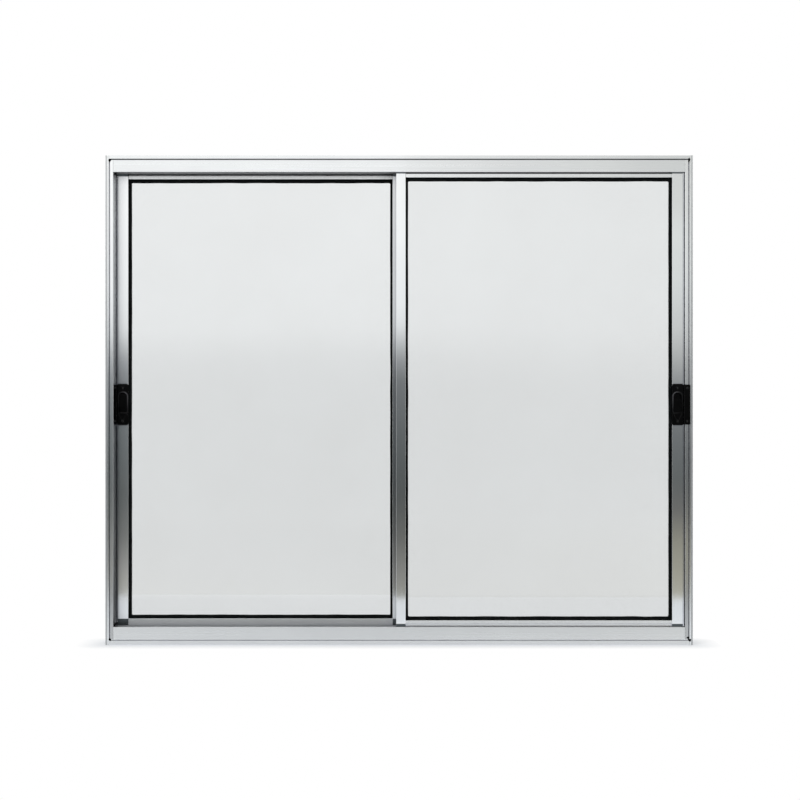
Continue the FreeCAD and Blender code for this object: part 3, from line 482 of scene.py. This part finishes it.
def cloudy_metal(name, grain, dark, light, rough, height, start=0.3, end=0.7, detail=4.0,
                 strength=0.1):
    """A metal that is mottled in colour, in roughness and in height."""
    material, made, links, shader = new_finish(name, Metallic=1.0)
    cloud = pattern(made, links, (1, 1, 1), grain, detail=detail)
    links.new(ramp(made, links, cloud, [(start, dark), (end, light)]),
              shader.inputs["Base Color"])
    links.new(spread(made, links, cloud, *rough, start=0.3, end=0.7),
              shader.inputs["Roughness"])
    bump(made, links, shader, cloud, strength, height)
    return material


steel = cloudy_metal("zinc_steel", 260.0, (0.55, 0.54, 0.50), (0.72, 0.71, 0.68),
                     (0.28, 0.45), 0.00005)
black_steel = cloudy_metal("blackened_screw", 900.0, 0.02, 0.10, (0.3, 0.5), 0.00004,
                           start=0.45, end=0.75, detail=3.0, strength=0.2)
dark_plate = cloudy_metal("dark_end_plate", 320.0, (0.10, 0.115, 0.125),
                          (0.16, 0.18, 0.19), (0.35, 0.5), 0.00003)

# %% [markdown]
# ## Dress the solids
# Each solid takes the finish that its name calls for. A list of words and finishes is
# read from the top, so the special names come before the general ones.

# %% Give each solid its finish

finish_words = [
    ("glass", glass), ("gasket", rubber), ("housings", grey_plastic),
    ("rollers", grey_plastic), ("guides", grey_plastic), ("pile", pile),
    ("latch_hook", steel), ("latch", black_plastic), ("jamb", jamb_metal),
    ("left_sash_outer_stile", rear_stile_metal),
    ("left_sash_meeting_stile", rear_stile_metal), ("stile", front_stile_metal),
    ("top_rail", top_rail_metal), ("left_sash_bottom_rail", rear_rail_metal),
    ("bottom_rail", bottom_rail_metal), ("head", head_metal), ("sill", sill_metal),
]
for name, node in nodes.items():
    chosen = next(material for word, material in finish_words if word in name)
    node.data.materials.clear()
    node.data.materials.append(chosen)
    print(name, "->", chosen.name)

# %% [markdown]
# ## The gasket
# One strip of rubber is folded round the edge of the glass like a U and pressed into the
# leaf with it. What shows is a rounded bead, a little wavy along its free edge because
# rubber is stretched by hand at the corners. Each point of the strip's section has its own
# rounded rectangle: round at the bead's free edge, nearly square where it meets the metal.

# %% Rounded rings

POINTS_PER_SIDE, POINTS_PER_CORNER = 90, 10


def rounded_ring(half_x, half_z, radius):
    """Points round a rectangle with round corners, for arrays of half sizes and radii.

    Each side is walked from one arc's end to the next arc's start, and each arc is a
    quarter turn about a corner centre set in by the radius."""
    turn = np.linspace(0, math.pi / 2, POINTS_PER_CORNER)
    walk = np.linspace(0, 1, POINTS_PER_SIDE, endpoint=False)[1:]
    signs = [(1, 1), (-1, 1), (-1, -1), (1, -1)]
    rows = []
    for number, (sx, sz) in enumerate(signs):
        angle = turn + number * math.pi / 2
        centre = np.stack([sx * (half_x - radius), sz * (half_z - radius)], axis=-1)
        arc = centre[None] + radius[None, :, None] * np.stack(
            [np.cos(angle), np.sin(angle)], axis=-1)[:, None]
        rows.append(arc)
        nx, nz = signs[(number + 1) % 4]
        after = np.stack([nx * (half_x - radius), nz * (half_z - radius)], axis=-1)
        start = angle[-1]
        after = after + radius[:, None] * np.array([math.cos(start), math.sin(start)])
        rows.append(arc[-1][None] + walk[:, None, None] * (after - arc[-1])[None])
    return np.concatenate(rows)


print("a ring has", 4 * (POINTS_PER_SIDE - 1 + POINTS_PER_CORNER), "points")

# %% [markdown]
# ## The strip's section
# The section is one closed line, listed as distances from the sight line and depths. It
# runs round the rear bead, through the groove, round the front bead, and back along the
# glass. The same curve serves both beads at two sizes.

# %% Gasket section

BEAD_SIDE, BEAD_REAR, BEAD_PROUD = 6.4, 4.0, 6.4
GROOVE_HALF, GLASS_HALF, GLASS_EDGE, STRIP_EDGE = 5.3, 2.0, 7.0, 8.6
FRONT_LIP, REAR_LIP, BEAD_ROOT = 5.9, 3.5, -0.1


def gasket_section():
    """Closed section of the strip: (distance outwards from the sight line, depth).

    The arm is the bead's curve, in shares of its width and its height."""
    arm = [(-0.97, 0.30), (-1.0, 0.55), (-0.97, 0.78), (-0.86, 0.93), (-0.68, 1.0),
           (-0.45, 0.995), (-0.25, 0.965), (-0.10, 0.90)]
    root = [(BEAD_ROOT, GROOVE_HALF), (STRIP_EDGE, GROOVE_HALF)]
    back = [(a * BEAD_REAR, b * BEAD_PROUD) for a, b in arm] + root
    front = [(a * BEAD_SIDE, -b * BEAD_PROUD) for a, b in arm] + [(u, -v) for u, v in root]
    lips = [(-FRONT_LIP, -GLASS_HALF), (GLASS_EDGE, -GLASS_HALF), (GLASS_EDGE, GLASS_HALF),
            (-REAR_LIP, GLASS_HALF)]
    return np.array(back + front[::-1] + lips)


print("the strip's section has", len(gasket_section()), "points")

# %% [markdown]
# ## The strip and its waves
# The section is carried round the opening. Nine sine waves with random lengths and starts
# move the free edge by a fraction of a millimetre. One wave would look like a pattern, and
# pure noise would look torn.

# %% Gasket strips

BEAD_LEVEL, EDGE_RADIUS, METAL_RADIUS = 7.4, 2.0, 0.25
MEETING_NARROWER, CORNER_REACH, CORNER_SHARE = 1.4, 15.0, 1.4
WAVES, WAVE_SIZE, LONGEST, SHORTEST, WAVE_STARTS = 9, 0.16, 7, 60, 6.3


def gasket(name, node, seed, meeting):
    """Carry the section round the opening of one leaf and let its free edge wave.

    The bead is narrower by a set amount along the meeting stile, which is on the side
    that meeting gives as 1 or -1."""
    low, high = box_mm(node)
    middle = (low + high) / 2
    half = (high - low) / 2 - STRIP_EDGE
    out, depth = gasket_section().T
    free = np.clip(-out / BEAD_SIDE, 0, 1)
    radius = np.interp(out, [-BEAD_SIDE, 0.0], [EDGE_RADIUS, METAL_RADIUS])
    level = out * np.where(out < 0, BEAD_LEVEL / BEAD_SIDE, 1.0)
    ring = rounded_ring(half[0] + out, half[2] + level, radius)
    along = np.linspace(0, 2 * math.pi, len(ring), endpoint=False)
    random = np.random.default_rng(seed)
    waves = random.integers(LONGEST, SHORTEST, WAVES)
    size = WAVE_SIZE / np.sqrt(waves / LONGEST)
    start = random.uniform(0, WAVE_STARTS, WAVES)
    wave = size[:, None] * np.sin(waves[:, None] * along + start[:, None])
    wave = wave.sum(axis=0)[:, None] * free[None] ** 2
    centre_line = ring / np.linalg.norm(ring, axis=-1, keepdims=True)
    flat = ring + centre_line * wave[..., None]
    near = (meeting * flat[..., 0] - half[0]) / CORNER_REACH + CORNER_SHARE
    flat[..., 0] += meeting * MEETING_NARROWER * free[None] * np.clip(near, 0, 1)
    points = np.empty((*flat.shape[:2], 3))
    points[..., 0] = flat[..., 0] + middle[0]
    points[..., 1] = depth[None] + middle[1]
    points[..., 2] = flat[..., 1] + middle[2]
    faces = grid_faces(*flat.shape[:2], True, True)
    piece = make_piece(name, points, faces, rubber)
    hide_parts(node)


gasket("left_gasket_strip", "left_sash_gasket", seed=5, meeting=1)
gasket("right_gasket_strip", "right_sash_gasket", seed=8, meeting=-1)

# %% [markdown]
# ## Distances for soft shapes
# A soft edge is a curve over a distance. Two distances are enough for the latch covers, to
# a rounded rectangle and to a straight stroke, with one bell-shaped curve that turns
# either into a soft band. Fillets could do it too, but they fail where three of them meet.

# %% Distances


def rounded_box_distance(x, z, half_x, half_z, radius):
    """Distance from a rounded rectangle, negative inside it."""
    dx, dz = np.abs(x) - half_x + radius, np.abs(z) - half_z + radius
    outside = np.hypot(np.maximum(dx, 0), np.maximum(dz, 0))
    return outside + np.minimum(np.maximum(dx, dz), 0) - radius


def bump_ring(distance, middle, width):
    """A smooth band that is one at a distance and fades within a width."""
    return np.exp(-((distance - middle) / width) ** 2)


def line_distance(x, z, start, end):
    """Distance from points to a straight stroke between two ends."""
    run = np.subtract(end, start)
    along = ((x - start[0]) * run[0] + (z - start[1]) * run[1]) / (run @ run)
    along = np.clip(along, 0, 1)
    return np.hypot(x - start[0] - along * run[0], z - start[1] - along * run[1])


print("3 mm right of a 2 mm stroke:", line_distance(3.0, 1.0, (0, 0), (0, 2)), "mm away")

# %% [markdown]
# ## The latch covers
# Each latch is a moulded black cover with an arched finger recess. Its soft edges, the
# raised band round the arch, the creased V below it and the screw seats catch the light,
# and that is all one sees of a black part. It could be sculpted, or cut with booleans.
# A height over a grid is better: every soft edge is one term of a sum, and a term can be
# changed on its own.

# %% The cover's depth

COVER_EDGE, COVER_CORNER, REST, RECESS_DEEP = 1.7, 4.0, 0.5, 8.6
RECESS_IN, RECESS_UP, RECESS_X, RECESS_Z = 11.25, 4.0, 8.05, 20.0
ARCH_RADIUS, FOOT_RADIUS = 7.4, 1.2
BAND_HIGH, BAND_OUT, BAND_WIDE = 0.5, 1.7, 0.8
BAND_FOOT, BAND_RISE, BAND_LEAST = 22, 10, 0.25
HIGHLIGHT_OUT, HIGHLIGHT_WIDE, HIGHLIGHT_LEAST, HIGHLIGHT_FOOT, HIGHLIGHT_RISE, HIGHLIGHT_ACROSS = 1.5, 1.1, 0.12, 18, 34, 12
WALL_RUN, WALL_POWER, LIP = 0.7, 0.6, 0.9
CREASE_TOP, CREASE_FOOT = (8.6, -18.0), (1.8, -31.0)
CREASE_DEEP, CREASE_WIDE, CREASE_CLEAR = 0.7, 0.6, 0.3
SCREW_APART, SEAT_RADIUS, SEAT_SOFT, SEAT_DEEP = 34.0, 2.5, 0.3, 0.5
RIM_RADIUS, RIM_WIDE, RIM_HIGH = 3.2, 0.5, 0.3


def cover_depth(x, z, half_x, half_z):
    """Depth of the cover's front, and its painted highlight, over a grid of x and z.

    depth = rest + edge rounding - band round the arch + recess + lip + creases + screw
    seats - their rims. The recess sits off the middle; its top is an arch and its foot is
    nearly square. The highlight is painted on the band, most at its top and on the leaf's
    inner side."""
    inside = -rounded_box_distance(x, z, half_x, half_z, COVER_CORNER)
    rise = np.clip(inside, 0, COVER_EDGE)
    depth = REST + COVER_EDGE - np.sqrt(COVER_EDGE ** 2 - (COVER_EDGE - rise) ** 2)
    out, up = x + half_x - RECESS_IN, z - RECESS_UP
    recess = np.where(up > 0,
                      rounded_box_distance(out, up, RECESS_X, RECESS_Z, ARCH_RADIUS),
                      rounded_box_distance(out, up, RECESS_X, RECESS_Z, FOOT_RADIUS))
    depth -= BAND_HIGH * bump_ring(recess, BAND_OUT, BAND_WIDE) * np.clip(
        (up + BAND_FOOT) / BAND_RISE, BAND_LEAST, 1)
    # Painted highlight on the band round the arch, most at its top and on the leaf's inner
    # side.
    highlight_share = (np.clip(0.5 - out / HIGHLIGHT_ACROSS, HIGHLIGHT_LEAST, 1)
                * np.clip((up + HIGHLIGHT_FOOT) / HIGHLIGHT_RISE, HIGHLIGHT_LEAST, 1))
    painted_highlight = bump_ring(recess, HIGHLIGHT_OUT, HIGHLIGHT_WIDE) * highlight_share
    depth += RECESS_DEEP * np.clip(-recess / WALL_RUN, 0, 1) ** WALL_POWER
    lip = np.clip(recess, 0, LIP)
    depth += LIP - np.sqrt(LIP ** 2 - (LIP - lip) ** 2)
    for sign in (-1, 1):
        crease = line_distance(out, z, (sign * CREASE_TOP[0], CREASE_TOP[1]),
                               (sign * CREASE_FOOT[0], CREASE_FOOT[1]))
        depth += CREASE_DEEP * bump_ring(crease, 0, CREASE_WIDE) * (recess > CREASE_CLEAR)
        seat = np.hypot(out, z - sign * SCREW_APART)
        depth += SEAT_DEEP * np.clip((SEAT_RADIUS - seat) / SEAT_SOFT, 0, 1)
        depth -= RIM_HIGH * bump_ring(seat, RIM_RADIUS, RIM_WIDE)
    return np.maximum(depth, 0.0), painted_highlight


print("the recess is", 2 * RECESS_X, "mm wide and", 2 * RECESS_Z, "mm tall")

# %% [markdown]
# ## The cover as a sheet with a back
# The height alone would be a skin. The same grid is laid again a wall's thickness behind,
# and a rim joins both borders, so the cover is one closed shell. Solidify could do it,
# but the recess is so steep that its two walls would cross.

# %% The cover as a mesh

COVER_ROWS, COVER_COLUMNS, COVER_WALL, BACK_DEEP, TINY = 84, 290, 1.1, 3.8, 1e-9


def latch_cover(name, node, side):
    """The cover as a closed sheet, drawn for the right side and mirrored for the left.

    A square grid is pulled in at its corners to a rounded rectangle. The back's depth is
    the front's plus the wall, and at least a set depth."""
    low, high = box_mm(node)
    half_x, half_z = (high[0] - low[0]) / 2, (high[2] - low[2]) / 2
    s, t = np.meshgrid(np.linspace(-1, 1, COVER_ROWS), np.linspace(-1, 1, COVER_COLUMNS),
                       indexing="ij")
    x, z = s * half_x, t * half_z
    a = np.clip((np.abs(x) - half_x + COVER_CORNER) / COVER_CORNER, 0, 1)
    b = np.clip((np.abs(z) - half_z + COVER_CORNER) / COVER_CORNER, 0, 1)
    pull = np.maximum(a, b) / np.maximum(np.hypot(a, b), TINY)
    corner = (a > 0) & (b > 0)
    x = np.where(corner, np.sign(x) * (half_x - COVER_CORNER + a * pull * COVER_CORNER), x)
    z = np.where(corner, np.sign(z) * (half_z - COVER_CORNER + b * pull * COVER_CORNER), z)
    depth, painted_highlight = cover_depth(x, z, half_x, half_z)
    back = np.maximum(depth + COVER_WALL, BACK_DEEP)
    front_points = np.stack([side * x + (high[0] + low[0]) / 2, depth + low[1],
                             z + (high[2] + low[2]) / 2], axis=-1)
    back_points = front_points + np.stack([0 * x, back - depth, 0 * x], axis=-1)
    rows, columns = depth.shape
    sheet = grid_faces(rows, columns, False, False)
    border = np.concatenate([np.arange(columns), np.arange(2, rows) * columns - 1,
                             rows * columns - 1 - np.arange(columns),
                             np.arange(rows - 2, 0, -1) * columns])
    after = np.roll(border, -1)
    count = rows * columns
    rim = np.stack([border, after, after + count, border + count], axis=-1)
    faces = np.concatenate([sheet, sheet[:, ::-1] + count, rim[:, ::-1]])
    if side < 0:
        faces = faces[:, ::-1]
    points = np.concatenate([front_points.reshape(-1, 3), back_points.reshape(-1, 3)])
    piece = make_piece(name, points, faces, black_plastic)
    # Each point keeps its painted highlight as a number for the finish.
    layer = piece.data.attributes.new("painted_highlight", "FLOAT", "POINT")
    layer.data.foreach_set("value", np.concatenate([painted_highlight.ravel(), 0 * painted_highlight.ravel()]))
    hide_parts(node)
    print(name, "is", round(float(depth.max()), 1), "mm deep in its recess")
    return low, high


# %% [markdown]
# ## Covers and latch screws in place
# The two covers mirror each other. Each has two screws in its seats, and the keeper on
# the frame beside it has two more at the same heights.

# %% Covers and latch screws in place

CASE_SCREW = {"radius": 2.2, "proud": 0.75}
KEEPER_SCREW = {"radius": 2.4, "proud": 0.4}
KEEPER_SET = 0.02

for name, side in (("left", -1), ("right", 1)):
    low, high = latch_cover(f"{name}_latch_cover", f"{name}_latch_case", side)
    middle_x, middle_z = (low[0] + high[0]) / 2, (low[2] + high[2]) / 2
    seat_x = middle_x + side * (RECESS_IN - (high[0] - low[0]) / 2)
    keeper_low, keeper_high = box_mm(f"{name}_latch_keeper")
    keeper_x = (keeper_low[0] + keeper_high[0]) / 2
    for place, sign in (("low", -1), ("high", 1)):
        level = middle_z + sign * SCREW_APART
        screw(f"{name}_case_screw_{place}", (seat_x, low[1] + REST + SEAT_DEEP, level),
              "-y", material=black_steel, **CASE_SCREW)
        screw(f"{name}_keeper_screw_{place}", (keeper_x, keeper_low[1] + KEEPER_SET, level),
              "-y", material=black_steel, **KEEPER_SCREW)

# %% [markdown]
# ## Corner screws
# Two screws at each corner go through a jamb into the round ports of the head or sill
# and hold the frame together. They are seen only from the sides.

# %% Corner screws

WEB_OUTSIDE, PORT_APART, PORT_LEVELS = 591.5, 12.0, {"sill": 4.5, "head": 994.5}
CORNER_SCREW = {"radius": 3.6, "proud": 2.2}

for name, side in (("left", -1), ("right", 1)):
    for end, level in PORT_LEVELS.items():
        for place, depth in (("front", -PORT_APART), ("rear", PORT_APART)):
            screw(f"{name}_{end}_corner_screw_{place}", (side * WEB_OUTSIDE, depth, level),
                  "+x" if side > 0 else "-x", material=steel, **CORNER_SCREW)

# %% [markdown]
# ## End plates
# The stiles' faces are milled off where they pass the frame's walls. A thin dark plate
# closes each end and keeps draughts and dust out. A plate is a stack of six rounded
# rectangles, the outer ones drawn in a little, so that its rim is soft.

# %% End plates

LEAF_PLANE, HALF_STILE = {"right": -15.7, "left": 15.7}, 12.5
MILLED = {"right": ((20.9, 42.4), (963.5, 969.9)), "left": ((20.9, 49.3), (961.2, 969.9))}
OUTER_EDGES = {"right": (558.3, 580.3), "left": (-580.3, -558.3)}
MEETING_INSET, PLATE_FRONT, PLATE_BACK = 0.1, 0.3, 2.6
PLATE_RADIUS, PLATE_EDGE, SOFT_SHARE, BACK_DRAWN = 1.0, 0.3, 0.3, 0.6


def rounded_plate(low, high):
    """Rings of a thin plate: a rounded rectangle, drawn in a little at both faces."""
    half_x, half_z = (high[0] - low[0]) / 2, (high[2] - low[2]) / 2
    soft = PLATE_EDGE * SOFT_SHARE
    inset = np.array([PLATE_EDGE + BACK_DRAWN, soft, 0.0, 0.0, soft, PLATE_EDGE])
    depth = np.array([high[1], high[1], high[1] - PLATE_EDGE, low[1] + PLATE_EDGE,
                      low[1] + soft, low[1]])
    ring = rounded_ring(half_x - inset, half_z - inset, np.full(len(inset), PLATE_RADIUS))
    ring = np.swapaxes(ring, 0, 1)
    rings = np.empty((*ring.shape[:2], 3))
    rings[..., 0] = ring[..., 0] + (high[0] + low[0]) / 2
    rings[..., 1] = depth[:, None]
    rings[..., 2] = ring[..., 1] + (high[2] + low[2]) / 2
    return rings


for node in [name for name in nodes if name.endswith("stile")]:
    leaf = node.split("_")[0]
    face = LEAF_PLANE[leaf] - HALF_STILE
    low, high = box_mm(node)
    edges = (low[0] + MEETING_INSET, high[0] - MEETING_INSET)
    if "outer" in node:
        edges = OUTER_EDGES[leaf]
    for place, (bottom, top) in zip(("low", "high"), MILLED[leaf]):
        plate = rounded_plate((edges[0], face + PLATE_FRONT, bottom),
                              (edges[1], face + PLATE_BACK, top))
        loft(f"{node}_end_plate_{place}", plate, dark_plate, smooth=False)

# %% [markdown]
# ## Corner sealant
# At the frame's corners the trim slots cross, and a dab of black sealant closes the gap.
# A dab is never round: two low waves over an ellipsoid are enough to make it lumpy.

# %% Corner sealant

DAB_DEPTH, DAB_HALF_DEEP, FIRST_DAB_SEED = -31.4, 1.8, 20
DAB_RINGS, DAB_ROUND, POLE_GAP, LOW_WAVE, HIGH_WAVE, WAVE_TURN = 14, 24, 0.06, 0.16, 0.1, 6.28
DABS = [(-591.2, 989.6, 2.6, 3.1), (592.6, 990.9, 2.5, 3.8), (-590.6, 10.6, 2.6, 2.8),
        (590.0, 14.8, 3.6, 1.7), (593.6, 9.8, 2.6, 3.4)]


def dab(name, middle, half, seed):
    """A lumpy blob: an ellipsoid whose radius is waved by two low harmonics."""
    random = np.random.default_rng(seed)
    polar = np.linspace(POLE_GAP, math.pi - POLE_GAP, DAB_RINGS)
    angle = np.linspace(0, 2 * math.pi, DAB_ROUND, endpoint=False)
    p, a = np.meshgrid(polar, angle, indexing="ij")
    first, second = random.uniform(0, WAVE_TURN, 2)
    lump = (1 + LOW_WAVE * np.sin(2 * a + first) * np.sin(p)
            + HIGH_WAVE * np.sin(3 * a + 2 * p + second))
    rings = np.stack([middle[0] + half[0] * lump * np.sin(p) * np.cos(a),
                      middle[1] + half[1] * lump * np.cos(p),
                      middle[2] + half[2] * lump * np.sin(p) * np.sin(a)], axis=-1)
    loft(name, rings, rubber)


for number, (x, z, half_x, half_z) in enumerate(DABS):
    dab(f"corner_sealant_{number}", (x, DAB_DEPTH, z), (half_x, DAB_HALF_DEEP, half_z),
        FIRST_DAB_SEED + number)

# %% [markdown]
# ## Helpers for the studio
# Bare metal and coated glass show whatever stands round them, so the studio is part of
# their finish. A stage face may tell what kind of ray has met it, and answer each kind in
# its own way. One could take two pictures and lay them together, but then the window
# would look right from one side only.

# %% Kinds of rays and stage faces


def share(made, links, wanted):
    """One when the ray is any of the wanted kinds, else nought."""
    path = made.new("ShaderNodeLightPath")
    total = path.outputs[wanted[0]]
    for kind in wanted[1:]:
        total = arithmetic(made, links, "MAXIMUM", total, path.outputs[kind])
    return total


def vector_step(made, links, operation, source, other=None):
    """One step of vector arithmetic, on one pattern and perhaps a fixed vector."""
    step = made.new("ShaderNodeVectorMath")
    step.operation = operation
    links.new(source, step.inputs[0])
    if other is not None:
        step.inputs[1].default_value = other
    return step.outputs["Value" if operation == "LENGTH" else "Vector"]


def stage_plane(name, corners, material):
    """One flat face that belongs to the stage and not to the window."""
    mesh = bpy.data.meshes.new(name)
    mesh.from_pydata(corners, [], [(0, 1, 2, 3)])
    mesh.materials.append(material)
    plane = bpy.data.objects.new(name, mesh)
    bpy.context.scene.collection.objects.link(plane)
    print("stage", name)
    return plane


print("kinds of rays that are told apart: camera, glossy, transmission, all others")

# %% [markdown]
# ## The studio floor
# The floor glows white to the camera, and dims where it meets the window. Seen through the
# glass it is painted a little dimmer near the window than far away, a painted shadow, and
# mirrored rays find it dimmer still and cool, though near the window they find more of its
# glow, a painted light for the sill's reflection. To all other rays it is pale paint.

# %% Floor

FOOTPRINT = (solid_box[1][0], solid_box[1][1], 0.0)
CONTACT_SHADE, CONTACT_START, CONTACT_END = 0.45, 0.004, 0.06
# Mirrored rays find more glow near the window: a painted light that brightens the sill's
# reflection, in a cool tint.
MIRROR_NEAR, MIRROR_FAR, MIRROR_START, MIRROR_END = 0.80, 0.37, 0.2, 0.5
MIRROR_TINT, GLASS_RANGE = (0.985, 1.01, 1.035, 1), 4.0
# Through the glass the floor is painted a little darker near the window: a painted shadow.
THROUGH_GLASS_SHADE = [(0.0, 0.875), (0.205, 0.885), (0.24, 0.955), (1.0, 1.0)]
FLOOR_HALF, FLOOR_DROP = 14.0, 0.0005

floor_paint, made, links, shader = new_finish(
    "studio_floor", Base_Color=(0.76, 0.80, 0.85, 1.0), Roughness=0.9)
where = made.new("ShaderNodeTexCoord")
beyond = vector_step(made, links, "ABSOLUTE", where.outputs["Object"])
beyond = vector_step(made, links, "SUBTRACT", beyond, FOOTPRINT)
beyond = vector_step(made, links, "MAXIMUM", beyond, (0.0, 0.0, 0.0))
away = vector_step(made, links, "LENGTH", beyond)
glossy = share(made, links, ["Is Glossy Ray"])
seen = arithmetic(
    made, links, "MULTIPLY", share(made, links, ["Is Camera Ray", "Is Transmission Ray"]),
    spread(made, links, away, CONTACT_SHADE, 1.0, start=CONTACT_START, end=CONTACT_END))
mirrored = arithmetic(
    made, links, "MULTIPLY", glossy,
    spread(made, links, away, MIRROR_NEAR, MIRROR_FAR, start=MIRROR_START, end=MIRROR_END))
glow = made.new("ShaderNodeEmission")
distance = spread(made, links, away, 0.0, 1.0, start=0.0, end=GLASS_RANGE)
tint = mix(made, links, share(made, links, ["Is Transmission Ray"]),
           mix(made, links, glossy, WHITE, MIRROR_TINT),
           ramp(made, links, distance, THROUGH_GLASS_SHADE))
links.new(tint, glow.inputs["Color"])
either = made.new("ShaderNodeMixShader")
links.new(arithmetic(made, links, "MAXIMUM", seen, mirrored), either.inputs[0])
links.new(shader.outputs["BSDF"], either.inputs[1])
links.new(glow.outputs["Emission"], either.inputs[2])
links.new(either.outputs["Shader"], made["Material Output"].inputs["Surface"])
floor_z = solid_box[0][2] - FLOOR_DROP
stage_plane("floor", [(x * FLOOR_HALF, y * FLOOR_HALF, floor_z)
                      for x, y in ((-1, -1), (1, -1), (1, 1), (-1, 1))], floor_paint)

# %% [markdown]
# ## The surround
# The surround is white to the camera, in mirrors and through the glass. It lights the
# window less than it shows, so that the lamps can give the light a direction.

# %% Surround

SKY_LIGHT = 0.62

world = bpy.data.worlds.new("surround")
bpy.context.scene.world = world
world.use_nodes = True
made, links = world.node_tree.nodes, world.node_tree.links
sky = made["Background"]
sky.inputs["Color"].default_value = WHITE
shown = share(made, links, ["Is Camera Ray", "Is Glossy Ray", "Is Transmission Ray"])
links.new(spread(made, links, shown, SKY_LIGHT, 1.0), sky.inputs["Strength"])
print("surround lights with", SKY_LIGHT, "and shows white")

# %% [markdown]
# ## The reflection card
# A card stands in front of the window and shows in its reflections alone. It glows with a
# gradient by height: pale above, dark in its lowest sixty centimetres, and less dark again
# at its foot. High up it is paler to the left than to the right, and low down it is dimmer
# in the middle. Painting it on the bars would look wrong from every other side.

# %% Reflection card

CARD_NEAR, CARD_HALF, CARD_LOW, CARD_TOP, CARD_GLOW = -0.93, 3.0, 0.0, 3.4, 1.08
LEFT_TONES = [
    (0.00, (0.43, 0.43, 0.39)), (0.07, (0.32, 0.32, 0.31)), (0.15, (0.185, 0.19, 0.185)),
    (0.26, (0.125, 0.135, 0.135)), (0.40, (0.16, 0.175, 0.18)), (0.55, (0.235, 0.25, 0.26)),
    (0.60, (0.35, 0.365, 0.38)), (0.68, (0.77, 0.79, 0.80)), (0.76, (0.88, 0.90, 0.91)),
    (1.00, (0.99, 1.0, 1.0))]
RIGHT_TONES = [
    (0.00, (0.40, 0.39, 0.33)), (0.14, (0.28, 0.275, 0.23)), (0.22, (0.15, 0.15, 0.145)),
    (0.30, (0.12, 0.13, 0.13)), (0.42, (0.16, 0.17, 0.175)), (0.55, (0.29, 0.30, 0.305)),
    (0.60, (0.41, 0.42, 0.42)), (0.68, (0.57, 0.58, 0.58)), (0.78, (0.66, 0.68, 0.68)),
    (0.92, (0.72, 0.74, 0.73)), (1.00, (0.65, 0.66, 0.65))]
TO_THE_RIGHT = [(0.506, 0.0), (0.511, 0.35), (0.84, 1.0)]
DIM_MIDDLE = [(0.16, 1.0), (0.5, 0.68), (0.85, 1.0)]
DIM_FROM, DIM_UNTIL = 0.55, 0.7

card_paint = bpy.data.materials.new("reflection_card")
card_paint.use_nodes = True
made, links = card_paint.node_tree.nodes, card_paint.node_tree.links
made.clear()
x, y, height = object_axes(made, links)
place = spread(made, links, x, 0.0, 1.0, start=-1.0, end=1.0)
tones = mix(made, links, ramp(made, links, place, TO_THE_RIGHT),
            ramp(made, links, height, LEFT_TONES), ramp(made, links, height, RIGHT_TONES))
low_down = spread(made, links, height, 1.0, 0.0, start=DIM_FROM, end=DIM_UNTIL)
dimmer = mix(made, links, low_down, WHITE, ramp(made, links, place, DIM_MIDDLE))
emit = made.new("ShaderNodeEmission")
emit.inputs["Strength"].default_value = CARD_GLOW
output = made.new("ShaderNodeOutputMaterial")
links.new(multiply(made, links, tones, dimmer), emit.inputs["Color"])
links.new(emit.outputs["Emission"], output.inputs["Surface"])
card = stage_plane("reflection_card",
                   [(-CARD_HALF, CARD_NEAR, CARD_LOW), (CARD_HALF, CARD_NEAR, CARD_LOW),
                    (CARD_HALF, CARD_NEAR, CARD_TOP), (-CARD_HALF, CARD_NEAR, CARD_TOP)],
                   card_paint)
for ray in ("camera", "diffuse", "transmission", "volume_scatter", "shadow"):
    setattr(card, "visible_" + ray, False)

# %% [markdown]
# ## Lamps
# One broad lamp stands high in front on the left, and a weaker one behind. They light the
# floor, the rubber and the plastics. The metal shows the card, not the lamps.

# %% Lamps

AIM = (0, 0, 0.5)


def soft_lamp(name, place, size, power):
    """A square soft lamp at a place, turned towards the window's middle."""
    data = bpy.data.lights.new(name, "AREA")
    data.shape = "SQUARE"
    data.size = size
    data.energy = power
    lamp = bpy.data.objects.new(name, data)
    lamp.location = place
    direction = np.array(AIM) - np.array(place)
    lamp.rotation_mode = "QUATERNION"
    lamp.rotation_quaternion = Vector(direction).to_track_quat("-Z", "Y")
    lamp.visible_glossy = False
    bpy.context.scene.collection.objects.link(lamp)
    print("lamp", name, power, "watts")


soft_lamp("key", (-1.9, -2.6, 2.9), size=1.6, power=55)
soft_lamp("back", (1.6, 2.8, 2.4), size=1.8, power=24)

# %% [markdown]
# ## The camera
# The picture was taken square on, from a little under four metres, at the window's
# middle height. The two leaves are 31 mm apart in depth and seen at slightly different
# scales, and that gives the distance.

# %% Camera

LENS, SENSOR, VIEWPOINT = 84.6, 36.0, (0.0018, -3.872, 0.5003)

camera_data = bpy.data.cameras.new("camera")
camera_data.lens = LENS
camera_data.sensor_width = SENSOR
camera = bpy.data.objects.new("camera", camera_data)
camera.location = VIEWPOINT
camera.rotation_euler = (math.pi / 2, 0, 0)
bpy.context.scene.collection.objects.link(camera)
bpy.context.scene.camera = camera
bpy.context.scene.view_settings.view_transform = "Standard"
print("camera", LENS, "mm lens at", VIEWPOINT)

# %% [markdown]
# ## Sizes
# The solids' box is printed. The dressing may not make the window larger.

# %% Print the solids' box

print("cad", [list(corner) for corner in solid_box])
